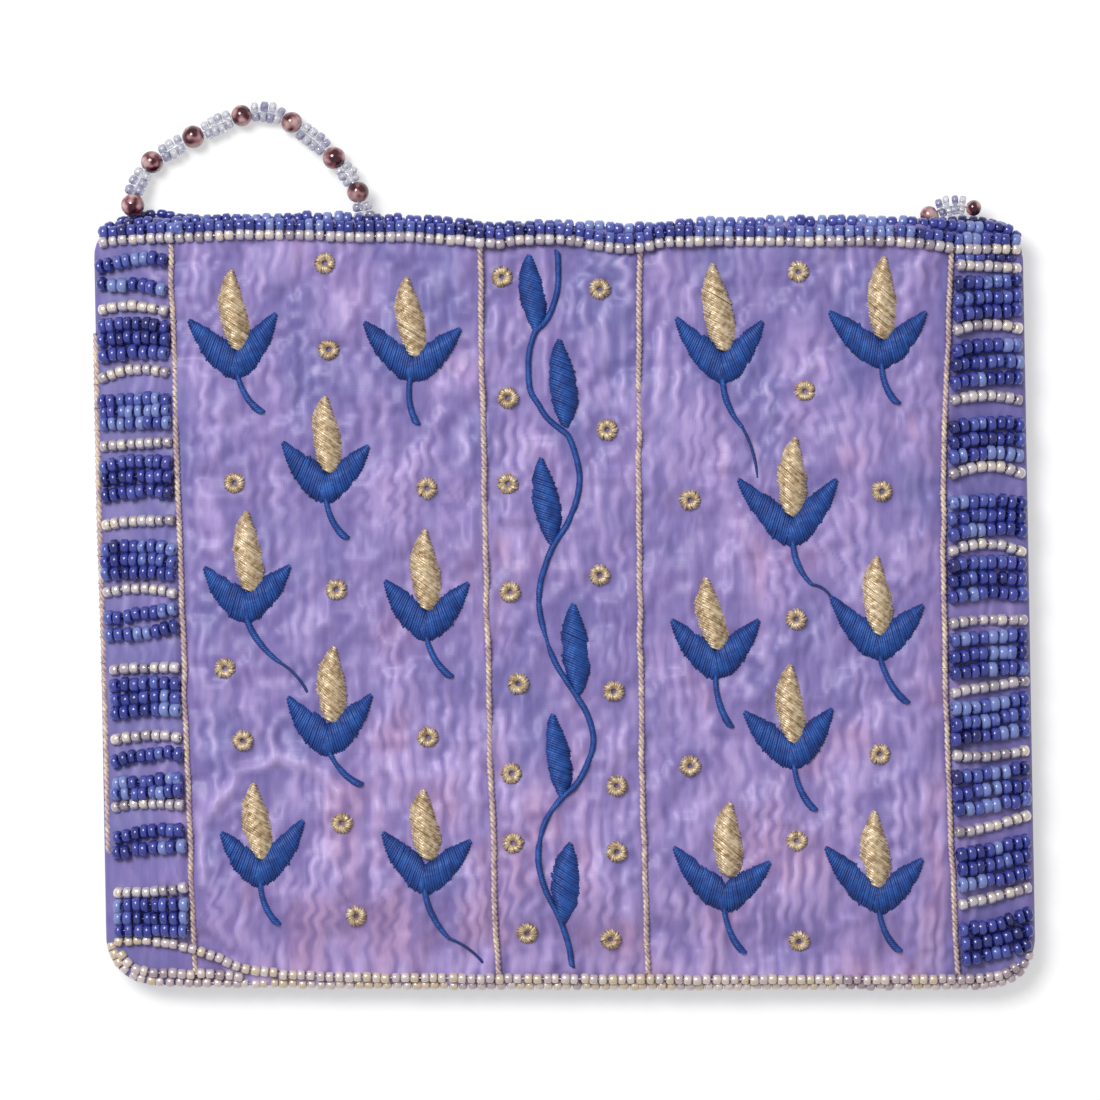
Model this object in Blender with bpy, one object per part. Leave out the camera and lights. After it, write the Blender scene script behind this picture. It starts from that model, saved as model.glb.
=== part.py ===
"""An embroidered and beaded silk pouch, lying on its back with its mouth towards +Y.

Metres, +Z up. The origin is on the surface that the pouch lies on, under the middle of its outline.
"""
import math

import bmesh
import bpy
from mathutils import Vector

MM = 0.001

# Outline of the cloth
WIDTH = 0.1260
HEIGHT = 0.1046
BOTTOM_CORNER = 0.0060
TOP_CORNER = 0.0035
LEAN = 0.0009
MOUTH_DIP = 0.0012
MOUTH_DIP_X = 0.0050
MOUTH_DIP_REACH = 0.0300
BEAD_OVERHANG = 0.0005
LINING_SHORTER = 0.0015

# Layers, from the back panel up
SILK = 0.0007
LINING = 0.0005
GAP = 0.0003
INSIDE_DEPTH = 0.0050
SIDE_RISE = 0.0180
BOTTOM_RISE = 0.0160
SEAM_LIFT = 0.0014
SEAM_RISE = 0.0080
SEAM_TURN = 0.0016
LINING_SEAM = 0.0010
COARSE_PANELS = 4  # grid cells across the even middle of a cloth

# Embroidery
BUD_LENGTH = 0.0108
BUD_WIDTH = 0.0040
BUD_CROWN = 0.0009
BUD_RAISED = 0.0040
BUD_FULLEST = 0.42  # where it is widest, as a share of its length
CUP_SPAN = 0.0122
CUP_HEIGHT = 0.0080
PETAL_WIDTH = 0.0034
PETAL_CROWN = 0.0007
PETAL_BOW = 0.0011
PETAL_FULLEST = 0.46
PETAL_CROSSING = 0.2  # how far past the middle a petal starts, as a share of its width
STEM_WIDTH = 0.0010
STEM_CROWN = 0.0005
LEAF_WIDTH = 0.0038
LEAF_FULLEST = 0.5
STITCHED_TIP = 0.12  # half-width left at a stitched tip, as a share of the fullest
EDGE_CROWN = 0.5  # share of the crown that a stitched shape keeps at its tips
STITCH_SINK = 0.00004
DOT_WIDTH = 0.0030
DOT_CROWN = 0.0006
DOT_HOLE = 0.0009
CORD = 0.0010
EDGE_CORD = 0.0005

# Bead work
BEAD = 0.0014
BEAD_THREAD = 0.0002
MOUTH_ROW_PITCH = 0.0015
BACK_MOUTH_RUNS = 16  # straight runs in the back's mouth row
MOUTH_ROWS = 3
BOTTOM_ROW_PITCH = 0.0013
BOTTOM_ROWS = 2
LEFT_SLANT = 0.0006
RIGHT_SLANT = 0.0014

# Strap
STRAP = 0.0026

# Places on the cloth in millimetres, read off a pouch of this size; spread() moves them with the cloth
LAID_OUT_ON = (126.0, 104.6)
# Each flower: where its cup ends, its lean in degrees, and where its stem ends below the cup
FLOWERS = (
    ((-44.3, 29.7), 2.7, (3.5, -4.5)),
    ((-20.7, 29.4), 2.4, (0.8, -5.8)),
    ((-32.3, 13.0), 0.0, (2.9, -4.8)),
    ((-43.2, -3.1), -1.1, (4.7, -5.3)),
    ((-18.8, -5.6), 0.0, (3.5, -4.9)),
    ((-32.0, -21.2), -3.5, (4.6, -3.9)),
    ((-41.1, -38.9), 3.6, (2.4, -5.1)),
    ((-19.0, -39.8), 0.0, (3.3, -6.0)),
    ((21.3, 29.0), 4.5, (2.6, -5.6)),
    ((42.8, 31.2), -1.5, (2.2, -4.8)),
    ((30.8, 7.0), -1.5, (2.5, -4.9)),
    ((42.4, -8.2), 0.8, (3.9, -5.8)),
    ((20.4, -10.8), 5.4, (2.1, -6.5)),
    ((30.9, -22.9), 1.6, (2.9, -5.6)),
    ((21.5, -42.1), -3.5, (2.8, -5.8)),
    ((42.4, -42.5), 2.0, (3.0, -5.2)),
)
VINE = (
    (-1.1, 46.0), (-0.9, 44.6), (-1.0, 41.9), (-1.9, 38.9), (-4.0, 36.2), (-4.9, 32.0), (-4.6, 28.1),
    (-2.5, 24.7), (0.5, 22.1), (2.0, 16.4), (1.5, 13.2), (-1.4, 7.7), (-3.4, 1.6), (-3.2, -2.6),
    (-1.4, -8.2), (1.5, -12.8), (3.8, -19.8), (1.9, -24.4), (-0.4, -26.7), (-2.7, -30.0), (-3.6, -34.7),
    (-2.7, -38.9), (-0.7, -43.0), (1.0, -49.0),
)
# Each leaf of the vine, from its tip to where it meets the stem
LEAVES = (
    ((-4.8, 45.6), (-3.2, 37.0)),
    ((-0.7, 35.2), (0.0, 22.9)),
    ((-3.2, 19.2), (-1.6, 7.5)),
    ((1.2, -0.5), (1.5, -12.4)),
    ((-1.6, -15.4), (-0.2, -26.2)),
    ((0.8, -32.8), (-0.6, -43.0)),
)
DOTS = (
    (-32.4, 45.2), (-31.9, 33.8), (-44.6, 15.8), (-18.6, 15.1), (-30.9, 1.4), (-45.9, -9.2),
    (-43.5, -19.0), (-18.5, -18.5), (-30.1, -30.1), (-28.2, -42.7), (-8.5, 43.6), (4.7, 42.0),
    (-7.7, 27.3), (5.7, 23.0), (-7.7, 15.7), (4.7, 3.4), (-7.4, 1.1), (-6.3, -11.3), (6.6, -12.3),
    (-7.2, -23.4), (7.0, -25.1), (-7.0, -32.8), (7.0, -34.0), (-5.1, -45.1), (6.2, -45.9),
    (31.5, 44.3), (32.4, 28.2), (16.9, 13.5), (42.8, 14.7), (31.2, -2.6), (16.9, -22.4),
    (42.5, -20.8), (31.3, -32.5), (31.7, -46.2),
)
# Each couched cord: its X at the mouth, half way down and at the bottom
CORDS = {
    "gold_cord_left": (-53.4, -51.8, -49.9),
    "gold_cord_middle_left": (-11.5, -10.6, -9.0),
    "gold_cord_middle_right": (10.2, 10.1, 11.3),
    "gold_cord_right": (52.6, 51.2, 53.4),
}
# Y of each row of beads on the two borders, from the mouth down
LEFT_ROWS = (
    45.6, 42.3, 39.4, 36.5, 33.8, 30.4, 26.9, 24.2, 20.8, 17.1, 14.4, 10.4, 7.3, 4.3, 1.2, -2.2, -5.1,
    -9.0, -11.9, -14.9, -18.4, -21.5, -24.6, -27.9, -31.7, -34.4, -39.0, -41.7, -44.2, -47.0,
)
RIGHT_ROWS = (
    45.0, 42.3, 39.8, 36.6, 32.8, 30.2, 26.9, 23.0, 20.2, 17.6, 12.6, 9.9, 7.2, 3.4, 0.6, -2.7,
    -5.8, -8.4, -12.0, -15.1, -17.6, -20.5, -24.4, -27.2, -30.4, -34.6, -37.2, -40.4, -43.2, -45.5,
)
# The strap's route, in metres: up from the left corner, round on the table, in at the mouth, in a loop
# inside the pouch, and out again to the right corner
STRAP_ROUTE = (
    (-0.0587, 0.0528, 0.0034), (-0.0583, 0.0560, 0.0024), (-0.0561, 0.0594, 0.0016),
    (-0.0530, 0.0615, 0.0014), (-0.0480, 0.0638, 0.0014), (-0.0439, 0.0649, 0.0014),
    (-0.0398, 0.0650, 0.0014), (-0.0354, 0.0634, 0.0015), (-0.0313, 0.0601, 0.0021),
    (-0.0284, 0.0558, 0.0029), (-0.0270, 0.0510, 0.0032), (-0.0262, 0.0430, 0.0032),
    (-0.0258, 0.0300, 0.0032), (-0.0254, 0.0140, 0.0032), (-0.0242, -0.0010, 0.0032),
    (-0.0200, -0.0130, 0.0032), (-0.0110, -0.0215, 0.0032), (0.0000, -0.0250, 0.0032),
    (0.0120, -0.0250, 0.0032), (0.0240, -0.0215, 0.0032), (0.0345, -0.0130, 0.0032),
    (0.0400, -0.0010, 0.0032), (0.0425, 0.0140, 0.0032), (0.0438, 0.0300, 0.0032),
    (0.0449, 0.0430, 0.0032), (0.0474, 0.0494, 0.0034),
    (0.0500, 0.0529, 0.0037), (0.0528, 0.0543, 0.0038), (0.0552, 0.0540, 0.0037),
    (0.0569, 0.0528, 0.0035),
)
STRAP_STEP = 0.0065

HALF_W = WIDTH / 2
HALF_H = HEIGHT / 2

for old in list(bpy.data.objects):
    bpy.data.objects.remove(old)


def material(name, colour, roughness, metallic=0.0):
    """A plain Principled material in the part's colour."""
    made = bpy.data.materials.new(name)
    made.use_nodes = True
    shader = made.node_tree.nodes["Principled BSDF"]
    shader.inputs["Base Color"].default_value = (*colour, 1.0)
    shader.inputs["Roughness"].default_value = roughness
    shader.inputs["Metallic"].default_value = metallic
    return made


LAVENDER_SILK = material("lavender_silk", (0.36, 0.29, 0.59), 0.45)
LINING_CLOTH = material("lining_cloth", (0.40, 0.34, 0.52), 0.80)
GOLD_THREAD = material("gold_thread", (0.58, 0.44, 0.26), 0.50, 0.3)
BLUE_THREAD = material("blue_thread", (0.02, 0.07, 0.30), 0.55)
BLUE_BEADS = material("blue_beads", (0.08, 0.08, 0.32), 0.20)
WHITE_BEADS = material("white_beads", (0.66, 0.60, 0.60), 0.25)
AMETHYST_BEADS = material("strap_beads", (0.36, 0.33, 0.48), 0.20)


def add_object(name, bm, look, smooth=True):
    """The closed mesh in bm as a named object, with its faces pointing out."""
    bmesh.ops.recalc_face_normals(bm, faces=bm.faces)
    mesh = bpy.data.meshes.new(name)
    bm.to_mesh(mesh)
    bm.free()
    mesh.materials.append(look)
    if smooth:
        mesh.shade_smooth()
        mesh.set_sharp_from_angle(angle=math.radians(50))
    made = bpy.data.objects.new(name, mesh)
    bpy.context.scene.collection.objects.link(made)
    return made


def combine(body, other, operation):
    """Joins other to body, or cuts it out of body, and keeps the result on body."""
    step = body.modifiers.new(operation.lower(), "BOOLEAN")
    step.operation = operation
    step.object = other
    evaluated = body.evaluated_get(bpy.context.evaluated_depsgraph_get())
    result = bpy.data.meshes.new_from_object(evaluated)
    body.modifiers.clear()
    body.data = result
    bpy.data.objects.remove(other)


# Heights of the layers at a place on the cloth

def rise(distance, span):
    """0 at a sewn edge and 1 from span inward, round like a pillow's edge."""
    return math.sin(min(max(distance / span, 0.0), 1.0) * math.pi / 2)


def side_distance(x, y):
    """How far a place lies from the nearer side edge."""
    return HALF_W - abs(x + LEAN * y / HALF_H)


def back_under(x, y):
    flat = rise(side_distance(x, y), SEAM_RISE) * rise(y + HALF_H, SEAM_RISE)
    return SEAM_LIFT * (1.0 - flat)


def back_over(x, y):
    return back_under(x, y) + SILK


def lining_under(x, y):
    return back_over(x, y) + GAP


def inside_floor(x, y):
    return lining_under(x, y) + LINING


def inside_roof(x, y):
    puff = rise(side_distance(x, y), SIDE_RISE) * rise(y + HALF_H, BOTTOM_RISE)
    return inside_floor(x, y) + INSIDE_DEPTH * puff


def lining_over(x, y):
    return inside_roof(x, y) + LINING


def front_under(x, y):
    return lining_over(x, y) + GAP


def front_over(x, y):
    return front_under(x, y) + SILK


def below_all(x, y):
    return back_under(x, y) - SILK


# Places on the cloth

def mouth_dip(x):
    """How far the mouth's edge hangs down at x."""
    away = (x - MOUTH_DIP_X) / MOUTH_DIP_REACH
    return MOUTH_DIP * math.exp(-away * away)


def settle(x, y):
    """Where a place on the evenly cut cloth ends up, with the lean and the dipped mouth."""
    share = max(y / HALF_H, 0.0)
    return x - LEAN * y / HALF_H, y - mouth_dip(x) * share * share


def spread(x_mm, y_mm):
    """A place read off the real pouch, moved with the size of the cloth."""
    return Vector((x_mm / LAID_OUT_ON[0] * WIDTH, y_mm / LAID_OUT_ON[1] * HEIGHT))


def round_corner(x, y, half_w, low, high, radius):
    """Pulls a place in a square corner into the round one of the given radius."""
    if radius <= 0.0:
        return x, y
    centre_x = half_w - radius
    centre_y = (high - radius) if y > 0 else (low + radius)
    over_x = (abs(x) - centre_x) / radius
    over_y = abs(y - centre_y) / radius
    if over_x <= 0.0 or over_y <= 0.0 or abs(y) < abs(centre_y):
        return x, y
    share = max(over_x, over_y) / math.hypot(over_x, over_y) * radius
    return (math.copysign(centre_x + over_x * share, x), centre_y + math.copysign(over_y * share, y))


def corner_lines(span):
    """Distances of the close grid lines from an edge: through the corner, then up the rise."""
    return [0.0, BOTTOM_CORNER * 0.25, TOP_CORNER, BOTTOM_CORNER, (BOTTOM_CORNER + span) / 2, span]


def grid_lines(low, high, low_lines, high_lines, coarse):
    """Grid lines from low to high: close at both edges, coarse between them."""
    start = low + low_lines[-1]
    end = high - high_lines[-1]
    between = [start + (end - start) * k / coarse for k in range(1, coarse)]
    return [low + d for d in low_lines] + between + [high - d for d in reversed(high_lines)]


def cloth(name, under, over, look, inset=0.0, top=HALF_H, top_radius=TOP_CORNER):
    """A closed sheet between two heights, with the pouch's outline set in by inset."""
    half_w = HALF_W - inset
    low = -HALF_H + inset
    mouth_lines = corner_lines(0.0)[:4]
    xs = grid_lines(-half_w, half_w, corner_lines(SIDE_RISE), corner_lines(SIDE_RISE), COARSE_PANELS)
    ys = grid_lines(low, top, corner_lines(BOTTOM_RISE), mouth_lines, COARSE_PANELS)
    bm = bmesh.new()
    sheets = []
    for height in (under, over):
        sheet = []
        for y in ys:
            row = []
            for x in xs:
                radius = top_radius if y > 0 else BOTTOM_CORNER - inset
                place = settle(*round_corner(x, y, half_w, low, top, radius))
                row.append(bm.verts.new((*place, height(*place))))
            sheet.append(row)
        sheets.append(sheet)
    lower, upper = sheets
    for j in range(len(ys) - 1):
        for i in range(len(xs) - 1):
            for sheet in sheets:
                corners = (sheet[j][i], sheet[j][i + 1], sheet[j + 1][i + 1], sheet[j + 1][i])
                bm.faces.new(corners)
    rim = [(0, i) for i in range(len(xs) - 1)] + [(j, len(xs) - 1) for j in range(len(ys) - 1)]
    rim += [(len(ys) - 1, i) for i in range(len(xs) - 1, 0, -1)] + [(j, 0) for j in range(len(ys) - 1, 0, -1)]
    for k, (j, i) in enumerate(rim):
        nj, ni = rim[(k + 1) % len(rim)]
        bm.faces.new((lower[j][i], lower[nj][ni], upper[nj][ni], upper[j][i]))
    return add_object(name, bm, look)


# Stitched and beaded runs on top of the silk

FLAT_SECTION = ((-1.0, 0.0), (-0.55, 1.0), (0.55, 1.0), (1.0, 0.0))
ROUND_SECTION = ((-1.0, 0.0), (-0.62, 0.78), (0.0, 1.0), (0.62, 0.78), (1.0, 0.0))
RIDGE_SECTION = ((-1.0, 0.0), (0.0, 1.0), (1.0, 0.0))
BULGE_SECTION = ((-0.7, 0.0), (-1.0, 0.5), (-0.6, 0.95), (0.0, 1.0), (0.6, 0.95), (1.0, 0.5), (0.7, 0.0))


def across(route, k):
    """The unit vector to the left of the route's run at its point k."""
    run = route[min(k + 1, len(route) - 1)] - route[max(k - 1, 0)]
    run.normalize()
    return Vector((-run.y, run.x))


def run(name, route, half_widths, crowns, section, look, sink=0.0):
    """A low closed ridge along the route, stitched flat and drawn in millimetres.

    What is joined to another run is sunk a little, so that their undersides don't share a plane.
    """
    bm = bmesh.new()
    rings = []
    for k, centre in enumerate(route):
        side = across(route, k)
        ring = []
        for share, lift in section:
            place = centre + side * (share * half_widths[k])
            ring.append(bm.verts.new(Vector((*place, lift * crowns[k] - sink)) / MM))
        rings.append(ring)
    count = len(section)
    for ring, following in zip(rings, rings[1:]):
        for s in range(count):
            t = (s + 1) % count
            bm.faces.new((ring[s], ring[t], following[t], following[s]))
    bm.faces.new(rings[0])
    bm.faces.new(reversed(rings[-1]))
    return add_object(name, bm, look)


def lay(made, surface=front_over):
    """Lays a flat run on a surface of the cloth, GAP above it."""
    for vertex in made.data.vertices:
        place = vertex.co * MM
        place.z += surface(place.x, place.y) + GAP
        vertex.co = place
    return made


def steady(route, value):
    return [value] * len(route)


def leaf_shape(count, full, tip_share=0.08, fullest=0.5):
    """Half-widths of a pointed leaf along its length, never quite zero at the tips."""
    power = math.log(0.5) / math.log(fullest)
    shape = []
    for k in range(count):
        along = (k / (count - 1)) ** power
        shape.append(full * max(math.sin(math.pi * along), tip_share))
    return shape


def bowed(start, end, bow, count):
    """Points from start to end, bowed to the left by bow half way."""
    run = end - start
    side = Vector((-run.y, run.x)).normalized()
    points = []
    for k in range(count):
        t = k / (count - 1)
        points.append(start + run * t + side * (4.0 * bow * t * (1.0 - t)))
    return points


def flower_axis(lean):
    return Vector((-math.sin(math.radians(lean)), math.cos(math.radians(lean))))


def padded(name, route, width, crown, fullest, section, look, sink=0.0):
    """A pointed satin-stitch shape along the route, thickest where it is widest."""
    widths = leaf_shape(len(route), width / 2, STITCHED_TIP, fullest)
    crowns = [crown * (EDGE_CROWN + w / width) for w in widths]
    return run(name, route, widths, crowns, section, look, sink)


def bud(name, foot, lean):
    """A padded pointed oval of gold satin stitch, above the cup's foot."""
    up = flower_axis(lean)
    route = bowed(foot + up * BUD_RAISED, foot + up * (BUD_RAISED + BUD_LENGTH), 0.0, 6)
    return lay(padded(name, route, BUD_WIDTH, BUD_CROWN, BUD_FULLEST, ROUND_SECTION, GOLD_THREAD))


def petal(name, foot, tip, bow, sink):
    route = bowed(foot, tip, bow, 5)
    return padded(name, route, PETAL_WIDTH, PETAL_CROWN, PETAL_FULLEST, RIDGE_SECTION, BLUE_THREAD, sink)


def stem(name, route):
    return run(name, route, steady(route, STEM_WIDTH / 2), steady(route, STEM_CROWN), FLAT_SECTION, BLUE_THREAD)


def cup(name, foot, lean, stem_end):
    """Two blue satin-stitch petals that meet at the foot, and the stem below them."""
    up = flower_axis(lean)
    right = Vector((up.y, -up.x))
    left_tip = foot + up * CUP_HEIGHT - right * (CUP_SPAN / 2)
    right_tip = foot + up * CUP_HEIGHT + right * (CUP_SPAN / 2)
    start = right * (PETAL_WIDTH * PETAL_CROSSING)
    body = petal(name, foot + start, left_tip, PETAL_BOW, STITCH_SINK)
    combine(body, petal("right_petal", foot - start, right_tip, -PETAL_BOW, STITCH_SINK * 2), "UNION")
    combine(body, stem("stem", bowed(foot + up * STEM_WIDTH, foot + stem_end, -STEM_WIDTH * 0.5, 5)), "UNION")
    return lay(body)


def vine():
    """The wavy stem of the middle band, with its six leaves."""
    body = stem("vine", [spread(*point) for point in VINE])
    for tip, base in LEAVES:
        route = bowed(spread(*base), spread(*tip), 0.0, 6)
        leaf = padded("leaf", route, LEAF_WIDTH, PETAL_CROWN, LEAF_FULLEST, RIDGE_SECTION, BLUE_THREAD, STITCH_SINK)
        combine(body, leaf, "UNION")
    return lay(body)


def dots():
    """The wound gold rings, each a low six-sided post with a dimple, rooted in the silk."""
    bm = bmesh.new()
    rings = ((DOT_WIDTH / 2, -SILK / 2), (DOT_WIDTH * 0.36, DOT_CROWN), (DOT_HOLE / 2, DOT_CROWN * 0.3))
    for point in DOTS:
        x, y = spread(*point)
        floor = front_over(x, y)
        made = []
        for radius, lift in rings:
            ring = []
            for k in range(6):
                angle = math.radians(60 * k)
                place = (x + radius * math.cos(angle), y + radius * math.sin(angle), floor + lift)
                ring.append(bm.verts.new(place))
            made.append(ring)
        for ring, following in zip(made, made[1:]):
            for k in range(6):
                n = (k + 1) % 6
                bm.faces.new((ring[k], ring[n], following[n], following[k]))
        bm.faces.new(reversed(made[0]))
        bm.faces.new(made[-1])
    return add_object("dots", bm, GOLD_THREAD)


# Lines that the bead work and the cords share

MOUTH_BAND_LOW = HALF_H - MOUTH_ROWS * MOUTH_ROW_PITCH
BOTTOM_BAND_HIGH = -HALF_H + BOTTOM_ROWS * BOTTOM_ROW_PITCH - BEAD_OVERHANG


def cord_x(name, y):
    """X of a couched cord at y, on the curve through its three places."""
    top, middle, bottom = (spread(x, 0.0).x for x in CORDS[name])
    t = y / HALF_H
    return middle + (top - bottom) / 2 * t + ((top + bottom) / 2 - middle) * t * t


def gold_cord(name):
    """A couched gold cord from the mouth's edging to the bottom's."""
    high = MOUTH_BAND_LOW - mouth_dip(cord_x(name, HALF_H)) - 2 * GAP
    low = BOTTOM_BAND_HIGH + 2 * GAP
    count = 10
    ys = [high + (low - high) * k / (count - 1) for k in range(count)]
    route = [Vector((cord_x(name, y), y)) for y in ys]
    return lay(run(name, route, steady(route, CORD / 2), steady(route, CORD * 0.9), ROUND_SECTION, GOLD_THREAD))


def edge_x(y, inset):
    """Half the cloth's width at y, before it leans, set in by inset, round the bottom corners."""
    down = max(-HALF_H + BOTTOM_CORNER - y, 0.0)
    radius = BOTTOM_CORNER - inset
    return HALF_W - BOTTOM_CORNER + math.sqrt(max(radius * radius - down * down, 0.0))


def border(name, cord_name, rows, slant, outer_inset):
    """Rows of beads across a side strip: one ridge a row, on a thin bed of thread."""
    side = math.copysign(1.0, CORDS[cord_name][0])
    row_ys = [spread(0.0, y).y for y in rows]
    half_row = BEAD * 0.46
    stations = []
    for y in row_ys:
        stations += [(y + half_row, 0.0), (y + half_row * 0.55, 1.0), (y - half_row * 0.55, 1.0), (y - half_row, 0.0)]
    bm = bmesh.new()
    rings = []
    for y, lift in stations:
        inner = abs(cord_x(cord_name, y)) + CORD / 2 + GAP
        outer = edge_x(y, outer_inset) - side * LEAN * y / HALF_H
        places = []
        for share in (0.0, 0.5, 1.0):
            x = side * (inner + (outer - inner) * share)
            places.append((x, y + slant * (share - 0.5) * side))
        over = [bm.verts.new((px, py, front_over(px, py) + GAP + BEAD_THREAD + lift * BEAD)) for px, py in places]
        under = [bm.verts.new((px, py, front_over(px, py) + GAP)) for px, py in places]
        rings.append(over + under[::-1])
    for ring, following in zip(rings, rings[1:]):
        for s in range(len(ring)):
            t = (s + 1) % len(ring)
            bm.faces.new((ring[s], ring[t], following[t], following[s]))
    bm.faces.new(rings[0])
    bm.faces.new(reversed(rings[-1]))
    return add_object(name, bm, BLUE_BEADS, smooth=False)


def row_section(rows, pitch):
    """The section of rows of beads side by side, in metres across and in bead heights up."""
    section = []
    for row in range(rows):
        middle = (row - (rows - 1) / 2) * pitch
        section += [(middle - pitch * 0.47, 0.2), (middle - pitch * 0.25, 1.0), (middle + pitch * 0.25, 1.0),
                    (middle + pitch * 0.47, 0.2)]
    return [(section[0][0], 0.0)] + section + [(section[-1][0], 0.0)]


def along_mouth(x, y):
    """A place on a row of beads that hangs down with the mouth's edge."""
    return Vector((x - LEAN * y / HALF_H, y - mouth_dip(x)))


def mouth_row(name, low, rows, look):
    """Rows of beads along the front's mouth edge, up from low."""
    middle = low + rows * MOUTH_ROW_PITCH / 2
    reach = HALF_W - TOP_CORNER * 0.4
    count = 20
    route = [along_mouth(-reach + 2 * reach * k / count, middle) for k in range(count + 1)]
    section = row_section(rows, MOUTH_ROW_PITCH)
    return lay(run(name, route, steady(route, 1.0), steady(route, BEAD), section, look))


def back_mouth_edging():
    """One row of blue beads along the back's mouth edge, just past the silk."""
    y = HALF_H + BEAD_OVERHANG - BEAD / 2
    reach = HALF_W - TOP_CORNER
    stations = [-reach + 2 * reach * k / BACK_MOUTH_RUNS for k in range(BACK_MOUTH_RUNS + 1)]
    route = [along_mouth(x, y) for x in stations]
    made = run("back_mouth_beads", route, steady(route, BEAD / 2), steady(route, BEAD), BULGE_SECTION, BLUE_BEADS)
    return lay(made, lambda x, y: back_under(x, y) - GAP)


def bottom_edging():
    """Two rows of white beads along the bottom, round both corners."""
    inset = BOTTOM_ROWS * BOTTOM_ROW_PITCH / 2 - BEAD_OVERHANG
    radius = BOTTOM_CORNER - inset
    route = []
    for angle in (50, 63, 77, 90):
        turn = math.radians(angle)
        route.append((-HALF_W + BOTTOM_CORNER - radius * math.cos(turn), -HALF_H + BOTTOM_CORNER - radius * math.sin(turn)))
    straight = 18
    span = WIDTH - 2 * BOTTOM_CORNER
    route += [(-span / 2 + span * k / straight, -HALF_H + inset) for k in range(1, straight)]
    route += [(-x, y) for x, y in reversed(route[:4])]
    route = [Vector(settle(*place)) for place in route]
    section = row_section(BOTTOM_ROWS, BOTTOM_ROW_PITCH)
    return lay(run("bottom_beads", route, steady(route, 1.0), steady(route, BEAD), section, WHITE_BEADS))


def left_edge_cord():
    """A thin gold cord along the outer left edge."""
    count = 10
    high = HALF_H * 0.55
    low = -HALF_H * 0.78
    route = []
    for k in range(count):
        y = high + (low - high) * k / (count - 1)
        route.append(Vector(settle(-HALF_W + EDGE_CORD / 2 + GAP / 2, y)))
    widths = steady(route, EDGE_CORD / 2)
    return lay(run("left_edge_cord", route, widths, steady(route, EDGE_CORD), FLAT_SECTION, GOLD_THREAD))


def smooth_route(points, step):
    """Points about a step apart on the smooth curve through the given ones."""
    points = [Vector(p) for p in points]
    padded = [points[0] * 2 - points[1]] + points + [points[-1] * 2 - points[-2]]
    fine = []
    for a, b, c, d in zip(padded, padded[1:], padded[2:], padded[3:]):
        for k in range(12):
            t = k / 12
            curve = b * 2 + (c - a) * t + (a * 2 - b * 5 + c * 4 - d) * t ** 2 + (b * 3 - a - c * 3 + d) * t ** 3
            fine.append(curve * 0.5)
    fine.append(points[-1])
    lengths = [0.0]
    for start, end in zip(fine, fine[1:]):
        lengths.append(lengths[-1] + (end - start).length)
    count = round(lengths[-1] / step)
    route = []
    k = 0
    for n in range(count + 1):
        wanted = lengths[-1] * n / count
        while k < len(fine) - 2 and lengths[k + 1] < wanted:
            k += 1
        share = (wanted - lengths[k]) / (lengths[k + 1] - lengths[k])
        route.append(fine[k].lerp(fine[k + 1], min(share, 1.0)))
    return route


def strap():
    """The beaded strap as a plain tube along its route."""
    route = smooth_route(STRAP_ROUTE, STRAP_STEP)
    curve = bpy.data.curves.new("strap", "CURVE")
    curve.dimensions = "3D"
    curve.bevel_depth = STRAP / 2
    curve.bevel_resolution = 2
    curve.use_fill_caps = True
    spline = curve.splines.new("POLY")
    spline.points.add(len(route) - 1)
    for point, place in zip(spline.points, route):
        point.co = (*place, 1.0)
    curve.materials.append(AMETHYST_BEADS)
    made = bpy.data.objects.new("strap", curve)
    bpy.context.scene.collection.objects.link(made)
    return made


# The cloth pieces
cloth("back_silk", back_under, back_over, LAVENDER_SILK, top=HALF_H + BEAD_OVERHANG - BEAD - GAP)

lining = cloth("lining", lining_under, lining_over, LINING_CLOTH, inset=SEAM_TURN + GAP,
               top=HALF_H - LINING_SHORTER, top_radius=0.0)
inside = cloth("inside", inside_floor, inside_roof, LINING_CLOTH, inset=SEAM_TURN + GAP + LINING_SEAM,
               top=HALF_H + TOP_CORNER, top_radius=0.0)
combine(lining, inside, "DIFFERENCE")

front = cloth("front_silk", lining_under, front_over, LAVENDER_SILK)
turned = cloth("turned", below_all, front_under, LAVENDER_SILK, inset=SEAM_TURN,
               top=HALF_H + TOP_CORNER, top_radius=0.0)
combine(front, turned, "DIFFERENCE")
combine(front, dots(), "UNION")

# The embroidery
for number, (place, lean, stem_end) in enumerate(FLOWERS, start=1):
    foot = spread(*place)
    bud(f"bud_{number:02d}", foot, lean)
    cup(f"cup_{number:02d}", foot, lean, spread(*stem_end))
vine()
for cord_name in CORDS:
    gold_cord(cord_name)
left_edge_cord()

# The bead work
border("left_border_beads", "gold_cord_left", LEFT_ROWS, LEFT_SLANT, EDGE_CORD + 2 * GAP)
border("right_border_beads", "gold_cord_right", RIGHT_ROWS, RIGHT_SLANT, GAP)
mouth_row("front_mouth_white_beads", MOUTH_BAND_LOW, 1, WHITE_BEADS)
mouth_row("front_mouth_blue_beads", MOUTH_BAND_LOW + MOUTH_ROW_PITCH + GAP, MOUTH_ROWS - 1, BLUE_BEADS)
back_mouth_edging()
bottom_edging()
strap()
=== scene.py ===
"""A beaded and embroidered pouch of crinkled lavender silk, with a beaded strap, on a white table."""
import math

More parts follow.
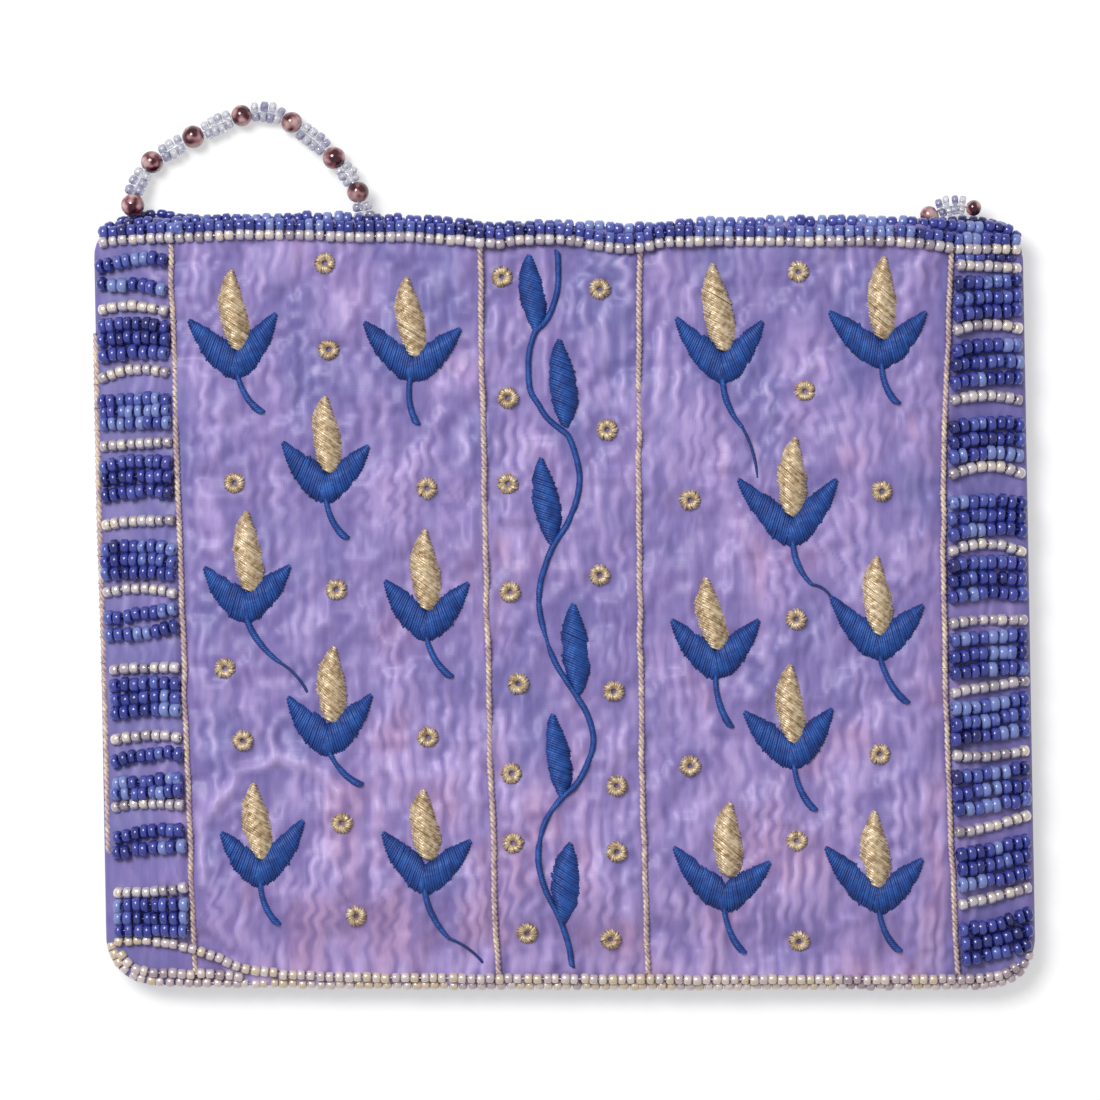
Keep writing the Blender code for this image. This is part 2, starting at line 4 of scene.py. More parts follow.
import bpy
import numpy as np
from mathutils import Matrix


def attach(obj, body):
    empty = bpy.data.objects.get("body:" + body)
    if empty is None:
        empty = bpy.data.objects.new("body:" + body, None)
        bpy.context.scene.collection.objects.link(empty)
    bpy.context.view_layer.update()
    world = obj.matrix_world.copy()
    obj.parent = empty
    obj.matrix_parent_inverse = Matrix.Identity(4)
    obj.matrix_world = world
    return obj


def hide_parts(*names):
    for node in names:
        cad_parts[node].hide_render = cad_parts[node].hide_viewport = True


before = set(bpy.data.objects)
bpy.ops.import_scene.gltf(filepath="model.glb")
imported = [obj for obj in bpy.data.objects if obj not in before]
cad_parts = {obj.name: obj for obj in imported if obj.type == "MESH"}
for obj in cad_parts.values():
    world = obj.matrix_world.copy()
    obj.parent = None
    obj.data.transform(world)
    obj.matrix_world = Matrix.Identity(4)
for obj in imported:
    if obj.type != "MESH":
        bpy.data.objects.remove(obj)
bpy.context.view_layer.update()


# The table, the light and the camera.
# A white table top under one large soft lamp from the upper left and an even white room, seen from
# straight above, so that the pouch throws a short soft shadow to its right and below it.

TABLE_SIDE = 4.0
TABLE_AT = (0.0, 0.0, -0.00005)  # just under the silk
TABLE_GLOW = 0.42  # lifts the lit table to white where it is seen, and keeps the shadow
ROOM_LIGHT = 0.46
LAMP_AT = (-0.40, 0.44, 0.96)
LAMP_SIDE = 0.46
LAMP_POWER = 9.6
CAMERA_AT = (-0.0020, 0.00675, 0.9080)
CAMERA_SEES = 0.1485  # width of the picture at the height of the silk
SENSOR = 36.0
SILK_HEIGHT = 0.0080

scene = bpy.context.scene
scene.view_settings.view_transform = "Standard"


def linear(code):
    """An sRGB hex colour as linear light."""
    parts = [int(code[k:k + 2], 16) / 255 for k in (1, 3, 5)]
    parts = [c / 12.92 if c <= 0.04045 else ((c + 0.055) / 1.055) ** 2.4 for c in parts]
    return (*parts, 1.0)


def add_node(tree, kind, inputs=None, stops=None, **settings):
    """Adds a shader node: inputs are values or what to link to, stops are a ramp's places and colours."""
    node = tree.nodes.new("ShaderNode" + kind)
    for name, value in settings.items():
        setattr(node, name, value)
    for name, value in (inputs or {}).items():
        if isinstance(value, bpy.types.Node):
            value = value.outputs[0]
        if isinstance(value, bpy.types.NodeSocket):
            tree.links.new(value, node.inputs[name])
        else:
            node.inputs[name].default_value = value
    if stops:
        elements = node.color_ramp.elements
        while len(elements) < len(stops):
            elements.new(1.0)
        for element, (place, code) in zip(elements, stops):
            element.position = place
            element.color = linear(code)
    return node


def new_material(name):
    """A material and its empty node tree."""
    material = bpy.data.materials.new(name)
    material.use_nodes = True
    material.node_tree.nodes.clear()
    return material, material.node_tree


# Matt white lacquered board: an even white with no pattern of its own that shows from this far
table_lacquer, tree = new_material("white_lacquered_board")
rays = add_node(tree, "LightPath").outputs
seen = rays["Is Camera Ray"]
for kind in ("Is Glossy Ray", "Is Transmission Ray"):
    seen = add_node(tree, "Math", {0: seen, 1: rays[kind]}, operation="MAXIMUM")
glow = add_node(tree, "Math", {0: seen, 1: TABLE_GLOW}, operation="MULTIPLY")
board = add_node(tree, "BsdfDiffuse", {"Color": linear("#d0d0d0")})
shine = add_node(tree, "Emission", {"Color": linear("#ffffff"), "Strength": glow})
both = add_node(tree, "AddShader", {0: board, 1: shine})
add_node(tree, "OutputMaterial", {"Surface": both})

bpy.ops.mesh.primitive_plane_add(size=TABLE_SIDE, location=TABLE_AT)
table = bpy.context.object
table.name = "table"
table.data.materials.append(table_lacquer)

room = bpy.data.worlds.new("white_room")
scene.world = room
room.use_nodes = True
room.node_tree.nodes.clear()
rays = add_node(room.node_tree, "LightPath").outputs
strength = add_node(room.node_tree, "MapRange", {"Value": rays["Is Camera Ray"], "To Min": ROOM_LIGHT})
air = add_node(room.node_tree, "Background", {"Color": linear("#ffffff"), "Strength": strength})
add_node(room.node_tree, "OutputWorld", {"Surface": air})

lamp_data = bpy.data.lights.new("soft_lamp", "AREA")
lamp_data.size = LAMP_SIDE
lamp_data.energy = LAMP_POWER
lamp = bpy.data.objects.new("soft_lamp", lamp_data)
scene.collection.objects.link(lamp)
lamp.location = LAMP_AT
lamp_turn = math.atan2(LAMP_AT[1], LAMP_AT[0]) + math.pi / 2
lamp.rotation_euler = (math.atan2(math.hypot(LAMP_AT[0], LAMP_AT[1]), LAMP_AT[2]), 0.0, lamp_turn)

camera_data = bpy.data.cameras.new("camera")
camera_data.sensor_width = SENSOR
camera_data.lens = SENSOR * (CAMERA_AT[2] - SILK_HEIGHT) / CAMERA_SEES
camera_data.clip_start = 0.01
camera = bpy.data.objects.new("camera", camera_data)
scene.collection.objects.link(camera)
camera.location = CAMERA_AT
scene.camera = camera


# The back panel.
# Plain crinkled lavender silk, cut like the front, with its edges turned in and sewn to the front's.
# It lies flat on the table and rises a little to the seam all round.

MM = 0.001
HALF_W = 0.0630
HALF_H = 0.0523
BOTTOM_CORNER = 0.0066
TOP_CORNER = 0.0035
CORNER_BEND = 0.009  # how far in from the sides the columns of points bend to round the corners
LEAN = 0.0009
MOUTH_LINE = (  # X and Y of the front's beaded mouth in millimetres: it sags and waves
    (-63.5, 49.2), (-62.8, 50.4), (-61.5, 51.2), (-58, 51.6), (-52, 51.7), (-48, 52), (-40, 52.2),
    (-34, 52.4), (-24, 52.1), (-17, 51.8), (-13, 51.4), (-10, 50.9), (-6, 51.2), (2, 51.1), (8, 50.8),
    (14, 51.2), (19, 51.6), (26, 51.7), (32, 51.9), (40, 51.9), (48, 51.6), (54, 51.3), (58, 51.2),
    (60, 50.9), (61.5, 49.6),
)
BACK_MOUTH_LINE = (  # the back's, which shows above the front's near both top corners
    (-63.5, 50.9), (-60.5, 51.9), (-58, 53), (-54.5, 53), (-52, 52.6), (-49.5, 52.2), (-44, 52),
    (-36, 52.4), (-24, 52.1), (-12, 51.2), (0, 51.1), (8, 50.8), (16, 51.4), (30, 51.9), (46, 51.8),
    (51, 52), (55.5, 52.3), (58, 52), (61, 50.8),
)
BELOW_BEADS = 0.0008  # from the beads' outline down to the silk's edge
SILK = 0.0007
LINING = 0.0005
GAP = 0.0003
INSIDE_DEPTH = 0.0050
SIDE_RISE = 0.0180
BOTTOM_RISE = 0.0160
SEAM_LIFT = 0.0014
SEAM_RISE = 0.0080
BACK_COLUMNS = 190
BACK_ROWS = 150
BACK_EDGE = 0.00035  # radius of its turned edge
EDGE_TURNS = 5  # facets round a turned edge
HEM = 0.0028
CRINKLE_PITCH = 0.00200  # from one crinkle to the next
CRINKLE_WAVE = 0.0042  # length of one zigzag of a crinkle
CRINKLE_SWING = 0.00036  # how far a zigzag goes to each side
CRINKLE_DRIFT = 0.0011  # how far a crinkle wanders on its way down
CRINKLE_HEIGHT = 0.00021
BACK_CRINKLE_SHARE = 0.6  # the back's are pressed flatter
NOISE_CELLS = 64  # along each side, before the hills repeat
NOISE_START = (311.7, 173.3)  # the place between the cells that the middle of the pouch reads
FIBRE_SCALE = (1500.0, 420.0, 420.0)  # streaks of about 0.7 by 2.4 mm
WEAVE_PITCH = 0.00036  # the real weave is twice as fine, and wouldn't show
WAVE_BAND = 0.314  # a wave texture's bands lie this far apart at a scale of 1
PENCIL_RINGS = ((-14.2, -43.1, 1.1), (-28.0, -22.6, 1.9), (46.4, 29.6, 3.4))  # X, Y and radius of each
PENCIL_LINE = 0.00022
PENCIL = linear("#7472b0")


def rise(distance, span):
    """A quarter of a sine, from 0 at the seam to 1 at span."""
    return np.sin(np.clip(distance / span, 0.0, 1.0) * np.pi / 2)


def side_distance(x, y):
    """How far each point lies inside the nearer side."""
    return HALF_W - np.abs(x + LEAN * y / HALF_H)


def back_under(x, y):
    """Height of the back silk's face on the table, which lifts to the seams."""
    return SEAM_LIFT * (1.0 - rise(side_distance(x, y), SEAM_RISE) * rise(y + HALF_H, SEAM_RISE))


def front_over(x, y):
    """Height of the front silk's face, which bulges up from the seams over the lining."""
    layers = 2 * (SILK + GAP + LINING)
    bulge = INSIDE_DEPTH * rise(side_distance(x, y), SIDE_RISE) * rise(y + HALF_H, BOTTOM_RISE)
    return back_under(x, y) + layers + bulge


def mouth_at(line, x):
    """Height on the page of a line of places in millimetres, at x in metres."""
    xs, ys = zip(*line)
    return np.interp(np.asarray(x) / MM, xs, ys) * MM


def eased(share):
    """A share from 0 to 1 that starts and ends gently."""
    return share * share * (3.0 - 2.0 * share)


def read_grid(grid, u, v):
    """Values between the points of a grid, which repeats past its ends, at places along its two sides."""
    iu = np.floor(u).astype(int)
    iv = np.floor(v).astype(int)
    fu = eased(u - iu)
    fv = eased(v - iv)
    wide, high = grid.shape
    near, far = (grid[iu % wide, k % high] * (1 - fu) + grid[(iu + 1) % wide, k % high] * fu
                 for k in (iv, iv + 1))
    return near * (1 - fv) + far * fv


def soft_noise(x, y, cell_x, cell_y, seed):
    """Smooth random hills from -1 to 1, about one a cell."""
    lattice = np.random.RandomState(seed).uniform(-1.0, 1.0, (NOISE_CELLS, NOISE_CELLS))
    start_u, start_v = NOISE_START
    return read_grid(lattice, np.asarray(x) / cell_x + start_u, np.asarray(y) / cell_y + start_v)


def crinkles(x, y, seed):
    """The silk's wavy upright crinkles, from 0 in a furrow to 1 on a ridge, fainter in some places; the
    silk's painted shade and highlight follow them.
    """
    turn = y / CRINKLE_WAVE + 1.3 * soft_noise(x, y, 0.0075, 0.0110, seed)
    swing = CRINKLE_SWING * (0.70 + 0.45 * soft_noise(x, y, 0.0070, 0.0080, seed + 1))
    zigzag = swing * np.sin(2 * np.pi * turn) + CRINKLE_DRIFT * soft_noise(x, y, 0.0080, 0.0220, seed + 2)
    across = (x + zigzag) / CRINKLE_PITCH + 0.62 * soft_noise(x, y, 0.0046, 0.0200, seed + 3)
    crest = (0.5 + 0.5 * np.cos(2 * np.pi * across)) ** 1.15
    streak = 0.60 + 0.75 * soft_noise(x + zigzag, y, 0.0012, 0.0036, seed + 4)
    zone = np.clip(0.74 + 0.60 * soft_noise(x, y, 0.0120, 0.0110, seed + 5), 0.25, 1.0)
    strokes = np.clip(soft_noise(x + 1.4 * zigzag, y, 0.0011, 0.0030, seed + 6), 0.0, 1.0)
    return np.clip(crest * np.clip(streak, 0.08, 1.25) * zone + 0.40 * strokes * (1.0 - crest), 0.0, 1.2)


def dappled(x, y, seed):
    """Uneven patches of the dye, from 0 to 1: bluer where low, pinker where high."""
    broad = soft_noise(x, y, 0.0062, 0.0085, seed)
    small = soft_noise(x, y, 0.0023, 0.0041, seed + 1)
    return np.clip(0.5 + 0.36 * broad + 0.16 * small, 0.0, 1.0)


def panel(columns, rows, edge, mouth_edge, line):
    """Grid points of a panel inside its turned edges, with round corners and a dipping mouth."""
    half_w = HALF_W - edge
    low = -HALF_H + edge
    high = HALF_H - mouth_edge
    even = np.linspace(-1.0, 1.0, rows)
    v = low + (high - low) * (0.5 + 0.5 * (0.82 * even + 0.18 * np.sin(even * np.pi / 2)))
    reach = half_w
    for corner, height in ((BOTTOM_CORNER - edge, v - low), (TOP_CORNER - mouth_edge, high - v)):
        into = np.clip(corner - height, 0.0, corner)
        reach = reach - (corner - np.sqrt(corner ** 2 - into ** 2))
    kept = half_w - CORNER_BEND
    x = np.linspace(-1.0, 1.0, columns)[None, :] * half_w
    beyond = np.clip((np.abs(x) - kept) / (half_w - kept), 0.0, 1.0)
    x = np.where(np.abs(x) <= kept, x, np.sign(x) * (kept + beyond * (reach[:, None] - kept)))
    y = np.broadcast_to(v[:, None], x.shape)
    dip = HALF_H + BELOW_BEADS - mouth_at(line, x)
    return x - LEAN * y / HALF_H, y - dip * np.clip(y / HALF_H, 0.0, 1.0) ** 4


def outline(grid):
    """The grid's outer values in order: along the bottom, up the right, along the mouth, down the left."""
    return np.concatenate([grid[0, :-1], grid[:-1, -1], grid[-1, :0:-1], grid[:0:-1, 0]])


def grid_faces(rows, columns):
    """Quads between the points of a grid."""
    index = np.arange(rows * columns).reshape(rows, columns)
    corners = [index[:-1, :-1], index[:-1, 1:], index[1:, 1:], index[1:, :-1]]
    return np.stack(corners, axis=-1).reshape(-1, 4)


def add_piece(name, points, faces, look, node, values):
    """A mesh piece that rides on the pouch and stands for a solid; values are named numbers per point."""
    mesh = bpy.data.meshes.new(name)
    mesh.from_pydata(points.tolist(), [], faces.tolist())
    mesh.polygons.foreach_set("use_smooth", np.ones(len(mesh.polygons), dtype=bool))
    for key, numbers in values.items():
        column = mesh.attributes.new(key, "FLOAT", "POINT").data
        column.foreach_set("value", np.ascontiguousarray(numbers, dtype=float))
    mesh.materials.append(look)
    piece = bpy.data.objects.new(name, mesh)
    scene.collection.objects.link(piece)
    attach(piece, "root")
    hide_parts(node)
    return piece


def add_panel(name, x, y, z, radius, up, node, **values):
    """A silk panel from its grid points, with its edge turned over and a hem inside it.

    radius is the turned edge's at each outline point; up is 1 where it turns up, -1 where it turns under."""
    loop = np.stack([outline(x), outline(y)], axis=1)
    ahead = np.roll(loop, -1, axis=0) - np.roll(loop, 1, axis=0)
    out = np.stack([ahead[:, 1], -ahead[:, 0]], axis=1)
    out /= np.linalg.norm(out, axis=1)[:, None]
    angles = [math.pi * k / EDGE_TURNS for k in range(1, EDGE_TURNS + 1)]
    rings = [(radius * math.sin(angle), radius * (1.0 - math.cos(angle))) for angle in angles]
    rings.append((np.full(len(radius), -HEM), radius * 2.0))
    points = [np.stack([x, y, z], axis=-1).reshape(-1, 3)]
    faces = [grid_faces(*x.shape)]
    inner = outline(np.arange(x.size).reshape(x.shape))
    for number, (reach, drop) in enumerate(rings):
        points.append(np.column_stack([loop + out * reach[:, None], outline(z) + up * drop]))
        outer = x.size + number * len(inner) + np.arange(len(inner))
        faces.append(np.stack([np.roll(inner, -1), inner, outer, np.roll(outer, -1)], axis=-1))
        inner = outer
    for key, grid in values.items():
        values[key] = np.concatenate([grid.ravel(), np.tile(outline(grid), len(rings))])
    faces = np.concatenate(faces)[:, ::-up]
    return add_piece(name, np.concatenate(points), faces, lavender_silk, node, values)


def woven(tree, coords, pitch, unevenness=None):
    """Warp and weft threads over and under each other, pitch apart."""
    waves = {"Vector": coords, "Scale": WAVE_BAND / pitch, **(unevenness or {})}
    warp, weft = (add_node(tree, "TexWave", waves, bands_direction=way).outputs["Fac"] for way in "XY")
    return add_node(tree, "Math", {0: warp, 1: weft}, operation="MULTIPLY")


# Crinkled silk, piece-dyed lavender and stretched over the lining: a soft sheen, a painted highlight on the
# crests of its wavy crinkles and painted shade in their furrows, bluish and pinkish in patches, with a
# few faint pencil marks
lavender_silk, tree = new_material("crinkled_lavender_silk")
coords = add_node(tree, "TexCoord").outputs["Object"]
crest = add_node(tree, "Attribute", attribute_name="crest").outputs["Fac"]
tone = add_node(tree, "Attribute", attribute_name="tone").outputs["Fac"]
slope = add_node(tree, "VectorMath", {0: coords, 1: (0.6, -2.2, 0.0)}, operation="DOT_PRODUCT")
place = add_node(tree, "Math", {0: tone, 1: slope.outputs["Value"]}, operation="ADD")
dye = add_node(tree, "ValToRGB", {"Fac": place}, stops=[
    (0.12, "#7b75b1"), (0.42, "#9180bc"), (0.66, "#a590c9"), (0.90, "#af8ebd")])
# Painted shade darkens the silk in the furrows of its crinkles, and a painted highlight lightens their
# crests
furrow_shade = add_node(tree, "MapRange", {"Value": crest, "From Max": 0.25, "To Min": 0.55, "To Max": 0.0})
silk = add_node(tree, "Mix", {"Factor": furrow_shade, 6: dye, 7: linear("#605499")}, data_type="RGBA").outputs[2]
lit = add_node(tree, "MapRange", {"Value": crest, "From Min": 0.25, "From Max": 0.85, "To Max": 0.54})
silk = add_node(tree, "Mix", {"Factor": lit, 6: silk, 7: linear("#c5b0e2")}, data_type="RGBA").outputs[2]
for ring_x, ring_y, ring_radius in PENCIL_RINGS:
    middle = (ring_x * MM, ring_y * MM, SILK_HEIGHT)
    away = add_node(tree, "VectorMath", {0: coords, 1: middle}, operation="DISTANCE").outputs["Value"]
    off = add_node(tree, "Math", {0: away, 1: ring_radius * MM}, operation="SUBTRACT")
    off = add_node(tree, "Math", {0: off}, operation="ABSOLUTE")
    line = add_node(tree, "MapRange", {"Value": off, "From Max": PENCIL_LINE, "To Min": 0.55, "To Max": 0.0})
    worn = add_node(tree, "Math", {0: line, 1: tone}, operation="MULTIPLY")
    silk = add_node(tree, "Mix", {"Factor": worn, 6: silk, 7: PENCIL}, data_type="RGBA").outputs[2]
stretch = add_node(tree, "Mapping", {"Vector": coords, "Scale": FIBRE_SCALE})
fibres = add_node(tree, "TexNoise", {"Vector": stretch, "Scale": 1.0, "Detail": 3.0, "Distortion": 0.6})
streaks = add_node(tree, "MapRange", {
    "Value": fibres, "From Min": 0.3, "From Max": 0.7, "To Min": 0.92, "To Max": 1.09})
toned = add_node(tree, "VectorMath", {0: silk, "Scale": streaks}, operation="SCALE")
weave = woven(tree, coords, WEAVE_PITCH, {"Distortion": 2.5, "Detail": 1.0})
grain = add_node(tree, "Math", {0: weave, 1: 0.35, 2: fibres}, operation="MULTIPLY_ADD")
bump = add_node(tree, "Bump", {"Height": grain, "Strength": 0.25, "Distance": 0.00006})
silk = add_node(tree, "BsdfPrincipled", {
    "Base Color": toned, "Roughness": 0.46, "IOR": 1.5, "Sheen Weight": 0.2, "Sheen Roughness": 0.4,
    "Sheen Tint": linear("#d9c8f0"), "Normal": bump})
add_node(tree, "OutputMaterial", {"Surface": silk})

x, y = panel(BACK_COLUMNS, BACK_ROWS, BACK_EDGE, BACK_EDGE, BACK_MOUTH_LINE)
crest = crinkles(x, y, seed=70)
z = back_under(x, y) + BACK_CRINKLE_SHARE * CRINKLE_HEIGHT * (1.0 - crest)
radius = np.full(len(outline(x)), BACK_EDGE)
tone = dappled(x, y, seed=80)
back_silk = add_panel("back_panel", x, y, z, radius, 1, "back_silk", crest=crest, tone=tone)


# The lining.
# A plain woven lavender cotton bag inside the silk, folded at the bottom and sewn up its sides, open at
# the mouth. It shows only inside the mouth, so the frame's own solid stays, in its cloth.

LINING_THREAD = 0.0006  # drawn twice as coarse as the real yarn, so that it shows
SLUB_SCALE = 900.0  # thick and thin places of about 1 mm

# Plain-woven cotton, dyed to match the silk: matt, with over-and-under yarns
lining_cotton, tree = new_material("plain_woven_cotton")
coords = add_node(tree, "TexCoord").outputs["Object"]
slubs = add_node(tree, "TexNoise", {"Vector": coords, "Scale": SLUB_SCALE, "Detail": 3.0})
mixed = add_node(tree, "Math", {0: woven(tree, coords, LINING_THREAD), 1: slubs}, operation="MULTIPLY")
dye = add_node(tree, "ValToRGB", {"Fac": mixed}, stops=[(0.0, "#655a8c"), (0.5, "#9a8fbd")])
bump = add_node(tree, "Bump", {"Height": mixed, "Strength": 0.5, "Distance": 0.0002})
cotton = add_node(tree, "BsdfPrincipled", {"Base Color": dye, "Roughness": 0.85, "Normal": bump})
add_node(tree, "OutputMaterial", {"Surface": cotton})
for holder in bpy.data.objects["lining"].material_slots:
    holder.material = lining_cotton


# The drawn pattern.
# The flowers, the vine, the dots and the cords are drawn on the silk before any stitch, so their places
# in millimetres come first: the front's silk lies flatter under them.

FLOWERS = (  # the bud's tip and foot, the cup's left and right tips, its lowest point, and the stem's end
    ((-45, 44.6), (-44.3, 33.6), (-50.8, 37.8), (-39, 38.7), (-44.3, 29.7), (-40.8, 25.2)),
    ((-21.3, 43.6), (-20.4, 32.7), (-27.1, 37.5), (-14.1, 36.6), (-20.7, 29.4), (-19.9, 23.6)),
    ((-32.3, 27.5), (-32, 17.1), (-38.1, 21.3), (-26.5, 20.8), (-32.3, 13), (-29.4, 8.2)),
    ((-42.9, 12), (-42.7, 1.1), (-48.7, 4.4), (-37.1, 4.6), (-43.2, -3.1), (-38.5, -8.4)),
    ((-18.8, 9.5), (-18.8, -1.4), (-24.3, 2.6), (-13, 2.3), (-18.8, -5.6), (-15.3, -10.5)),
    ((-31.1, -6.3), (-31.8, -16.5), (-37.4, -13.1), (-26.1, -12.8), (-32, -21.2), (-27.4, -25.1)),
    ((-42, -24.7), (-41.1, -35.1), (-46.4, -31.4), (-35.3, -29.8), (-41.1, -38.9), (-38.7, -44)),
    ((-19, -25.6), (-18.8, -35.1), (-24.6, -31.4), (-12.7, -32.5), (-19, -39.8), (-15.7, -45.8)),
    ((20, 45.4), (21.3, 33.5), (15, 38.1), (26.7, 37.6), (21.3, 29), (23.9, 23.4)),
    ((43.2, 46.4), (42.6, 35.2), (35.7, 38.9), (48.8, 38.9), (42.8, 31.2), (45, 26.4)),
    ((31.2, 21.9), (30.3, 11.3), (23.4, 16.3), (36.7, 16.3), (30.8, 7), (33.3, 2.1)),
    ((42.2, 5.9), (42.2, -4.8), (35.9, 0.4), (48.4, -0.7), (42.4, -8.2), (46.3, -14)),
    ((19.1, 3), (20.4, -6.8), (14.4, -2.7), (26.2, -2.7), (20.4, -10.8), (22.5, -17.3)),
    ((30.5, -8.7), (30.6, -19.4), (24.2, -15.1), (36.1, -14.7), (30.9, -22.9), (33.8, -28.5)),
    ((22.4, -27.4), (21.7, -37.3), (14.7, -33.4), (27.7, -35.4), (21.5, -42.1), (24.3, -47.9)),
    ((41.9, -28.5), (41.9, -38.8), (35.2, -33.4), (48.3, -35), (42.4, -42.5), (45.4, -47.7)),
)
VINE = (
    (-1, 47.2), (-0.9, 45), (-1, 41.9), (-1.9, 38.9), (-2.9, 37.3), (-4, 36.2), (-4.8, 33.5),
    (-4.9, 30.4), (-4.6, 28.1), (-3.6, 26.5), (-2.5, 24.7), (-0.8, 23.2), (0.5, 22.1), (1.5, 19.4),
    (2, 16.4), (1.5, 13.2), (0.1, 9.9), (-1.4, 7.7), (-2.5, 5), (-3.4, 1.6), (-3.2, -2.6), (-1.4, -8.2),
    (1.5, -12.8), (3.3, -16.1), (3.8, -19.8), (1.9, -24.4), (-0.4, -26.7), (-2.7, -30), (-3.6, -34.7),
    (-2.7, -38.9), (-0.7, -43), (0.5, -46.7), (1, -49.8),
)
LEAVES = (  # tip, foot and full width of each
    ((-4.8, 46.6), (-3.9, 36.4), 3.6), ((-0.7, 35.2), (0, 23.4), 3.9), ((-3.2, 19.2), (-1.8, 7.5), 3.6),
    ((1.2, -0.5), (1.7, -12.6), 3.9), ((-1.6, -15.4), (-0.4, -26.5), 3.6),
    ((0.8, -32.8), (-0.4, -43.5), 4.1),
)
DOTS = (
    (-32.4, 45.5), (-31.9, 33.8), (-44.6, 15.8), (-18.6, 15.1), (-30.9, 1.4), (-45.9, -9.2),
    (-43.5, -19), (-18.5, -18.5), (-30.1, -30.1), (-28.2, -42.7), (-8.5, 43.6), (4.7, 42), (-7.7, 27.3),
    (5.7, 23), (-7.7, 15.7), (4.7, 3.4), (-7.4, 1.1), (-6.3, -11.3), (6.6, -12.3), (-7.2, -23.4),
    (7, -25.1), (-7, -32.8), (7, -34), (-5.1, -45.1), (6.2, -45.9), (31.5, 44.3), (32.4, 28.2),
    (16.9, 13.5), (42.8, 14.7), (31.2, -2.6), (16.9, -22.4), (42.5, -20.8), (31.3, -32.5),
    (31.7, -46.2),
)
CORDS = {  # X of each at the mouth, half way down and at the bottom
    "gold_cord_left": (-53.4, -51.8, -49.9),
    "gold_cord_middle_left": (-11.5, -10.6, -9.0),
    "gold_cord_middle_right": (10.2, 10.1, 11.3),
    "gold_cord_right": (52.6, 51.2, 53.4),
}


def cord_x(name, y):
    """Where a gold cord is at y, in metres."""
    top, middle, bottom = (x * MM for x in CORDS[name])
    t = y / HALF_H
    return middle + (top - bottom) / 2 * t + ((top + bottom) / 2 - middle) * t * t


# The front panel.
# Crinkled lavender silk like the back's. The stitches and the seams hold it down, so that it puckers
# between them, and its side and bottom edges turn in over the back panel's.

FRONT_COLUMNS = 430
FRONT_ROWS = 204
FRONT_EDGE = 0.0010  # radius of its turned edge
MOUTH_EDGE = 0.00035
MOUTH_HEIGHT = 0.0040  # the mouth's edge lies less than this below the cloth's full height
EDGE_SMOOTHING = 6  # times that the edge's radius is evened out at the mouth's corners
STITCH_HOLD = 0.0012  # how far from a stitch the silk is held
STITCH_REACH = 0.0030  # and on from there, how far its crinkles are pulled flatter
CORD_HOLD = 0.0004  # the same beside a cord
CORD_REACH = 0.0016
SEAM_REACH = 0.0020
SUNK = 0.00012  # how deep the stitches pull the silk down
PUCKER = 0.00022
SIM_COLUMNS = 96
SIM_ROWS = 80
SIM_SCALE = 10.0
PINNED = 0.12  # the simulation pins the points that are less free than this
SIM_STEPS = 16
SIM_FULLNESS = 0.03  # how much longer the loose silk is than the stitched cloth under it
SIM_CAP = 0.00060
BORDER_FROM = 0.0505  # X where the flatter silk of the beaded borders starts
CREASE = (
    (-49, -38), (-49.4, -33), (-47.2, -27.5), (-43, -23.2), (-38.6, -21.4), (-34, -22.6),
    (-30.5, -25.6),
)
CREASE_HEIGHT = 0.00080
CREASE_WIDTH = 0.00085
TUCK = ((-48.8, -45.2), (-45.2, -47.8))  # a small fold that the bottom rows pinch
TUCK_DEPTH = 0.00040
TUCK_WIDTH = 0.00090
GATHER_PITCH = 0.0030  # from one small pucker above the bottom seam to the next
GATHER_SWAY = 0.0016
GATHER_REACH = 0.0034
GATHER_HEIGHT = 0.00026
ROW_SHADOW_REACH = 0.0046  # how far below the mouth's line its rows of beads cover the silk and throw a painted shadow on it
LEFT_FOOT = (-0.0445, -0.0455)  # X and Y inside which the bottom rows climb over the silk, and the silk's colour is darkened: painted shade


def distance_to(x, y, places):
    """How far each point is from the nearest of the places, in metres."""
    nearest = np.full(x.shape, 1.0)
    for px, py in places:
        nearest = np.minimum(nearest, np.hypot(x - px, y - py))
    return nearest


def between(start, end, count):
    """Points in metres from start to end, which are in millimetres."""
    share = np.linspace(0.0, 1.0, count)[:, None]
    return (np.array(start) * (1 - share) + np.array(end) * share) * MM


stitched = [between(tip, foot, 5) for tip, foot, _ in LEAVES] + [np.array(VINE + DOTS) * MM]
for bud_tip, bud_foot, left_tip, right_tip, low, stem_end in FLOWERS:
    stitched += [between(bud_tip, bud_foot, 6), between(left_tip, low, 5), between(right_tip, low, 5),
                 between(low, stem_end, 3)]
stitched_places = np.concatenate(stitched)
crease_places = np.concatenate([between(a, b, 8) for a, b in zip(CREASE, CREASE[1:])])


def held_down(x, y):
    """How free the silk is at each point: 0 where a stitch, a cord or a seam holds it, 1 well away."""
    loose = np.clip((distance_to(x, y, stitched_places) - STITCH_HOLD) / STITCH_REACH, 0.0, 1.0)
    for name in CORDS:
        loose = np.minimum(loose, np.clip((np.abs(x - cord_x(name, y)) - CORD_HOLD) / CORD_REACH, 0.0, 1.0))
    return np.minimum(loose, np.clip(side_distance(x, y) / SEAM_REACH, 0.0, 1.0))


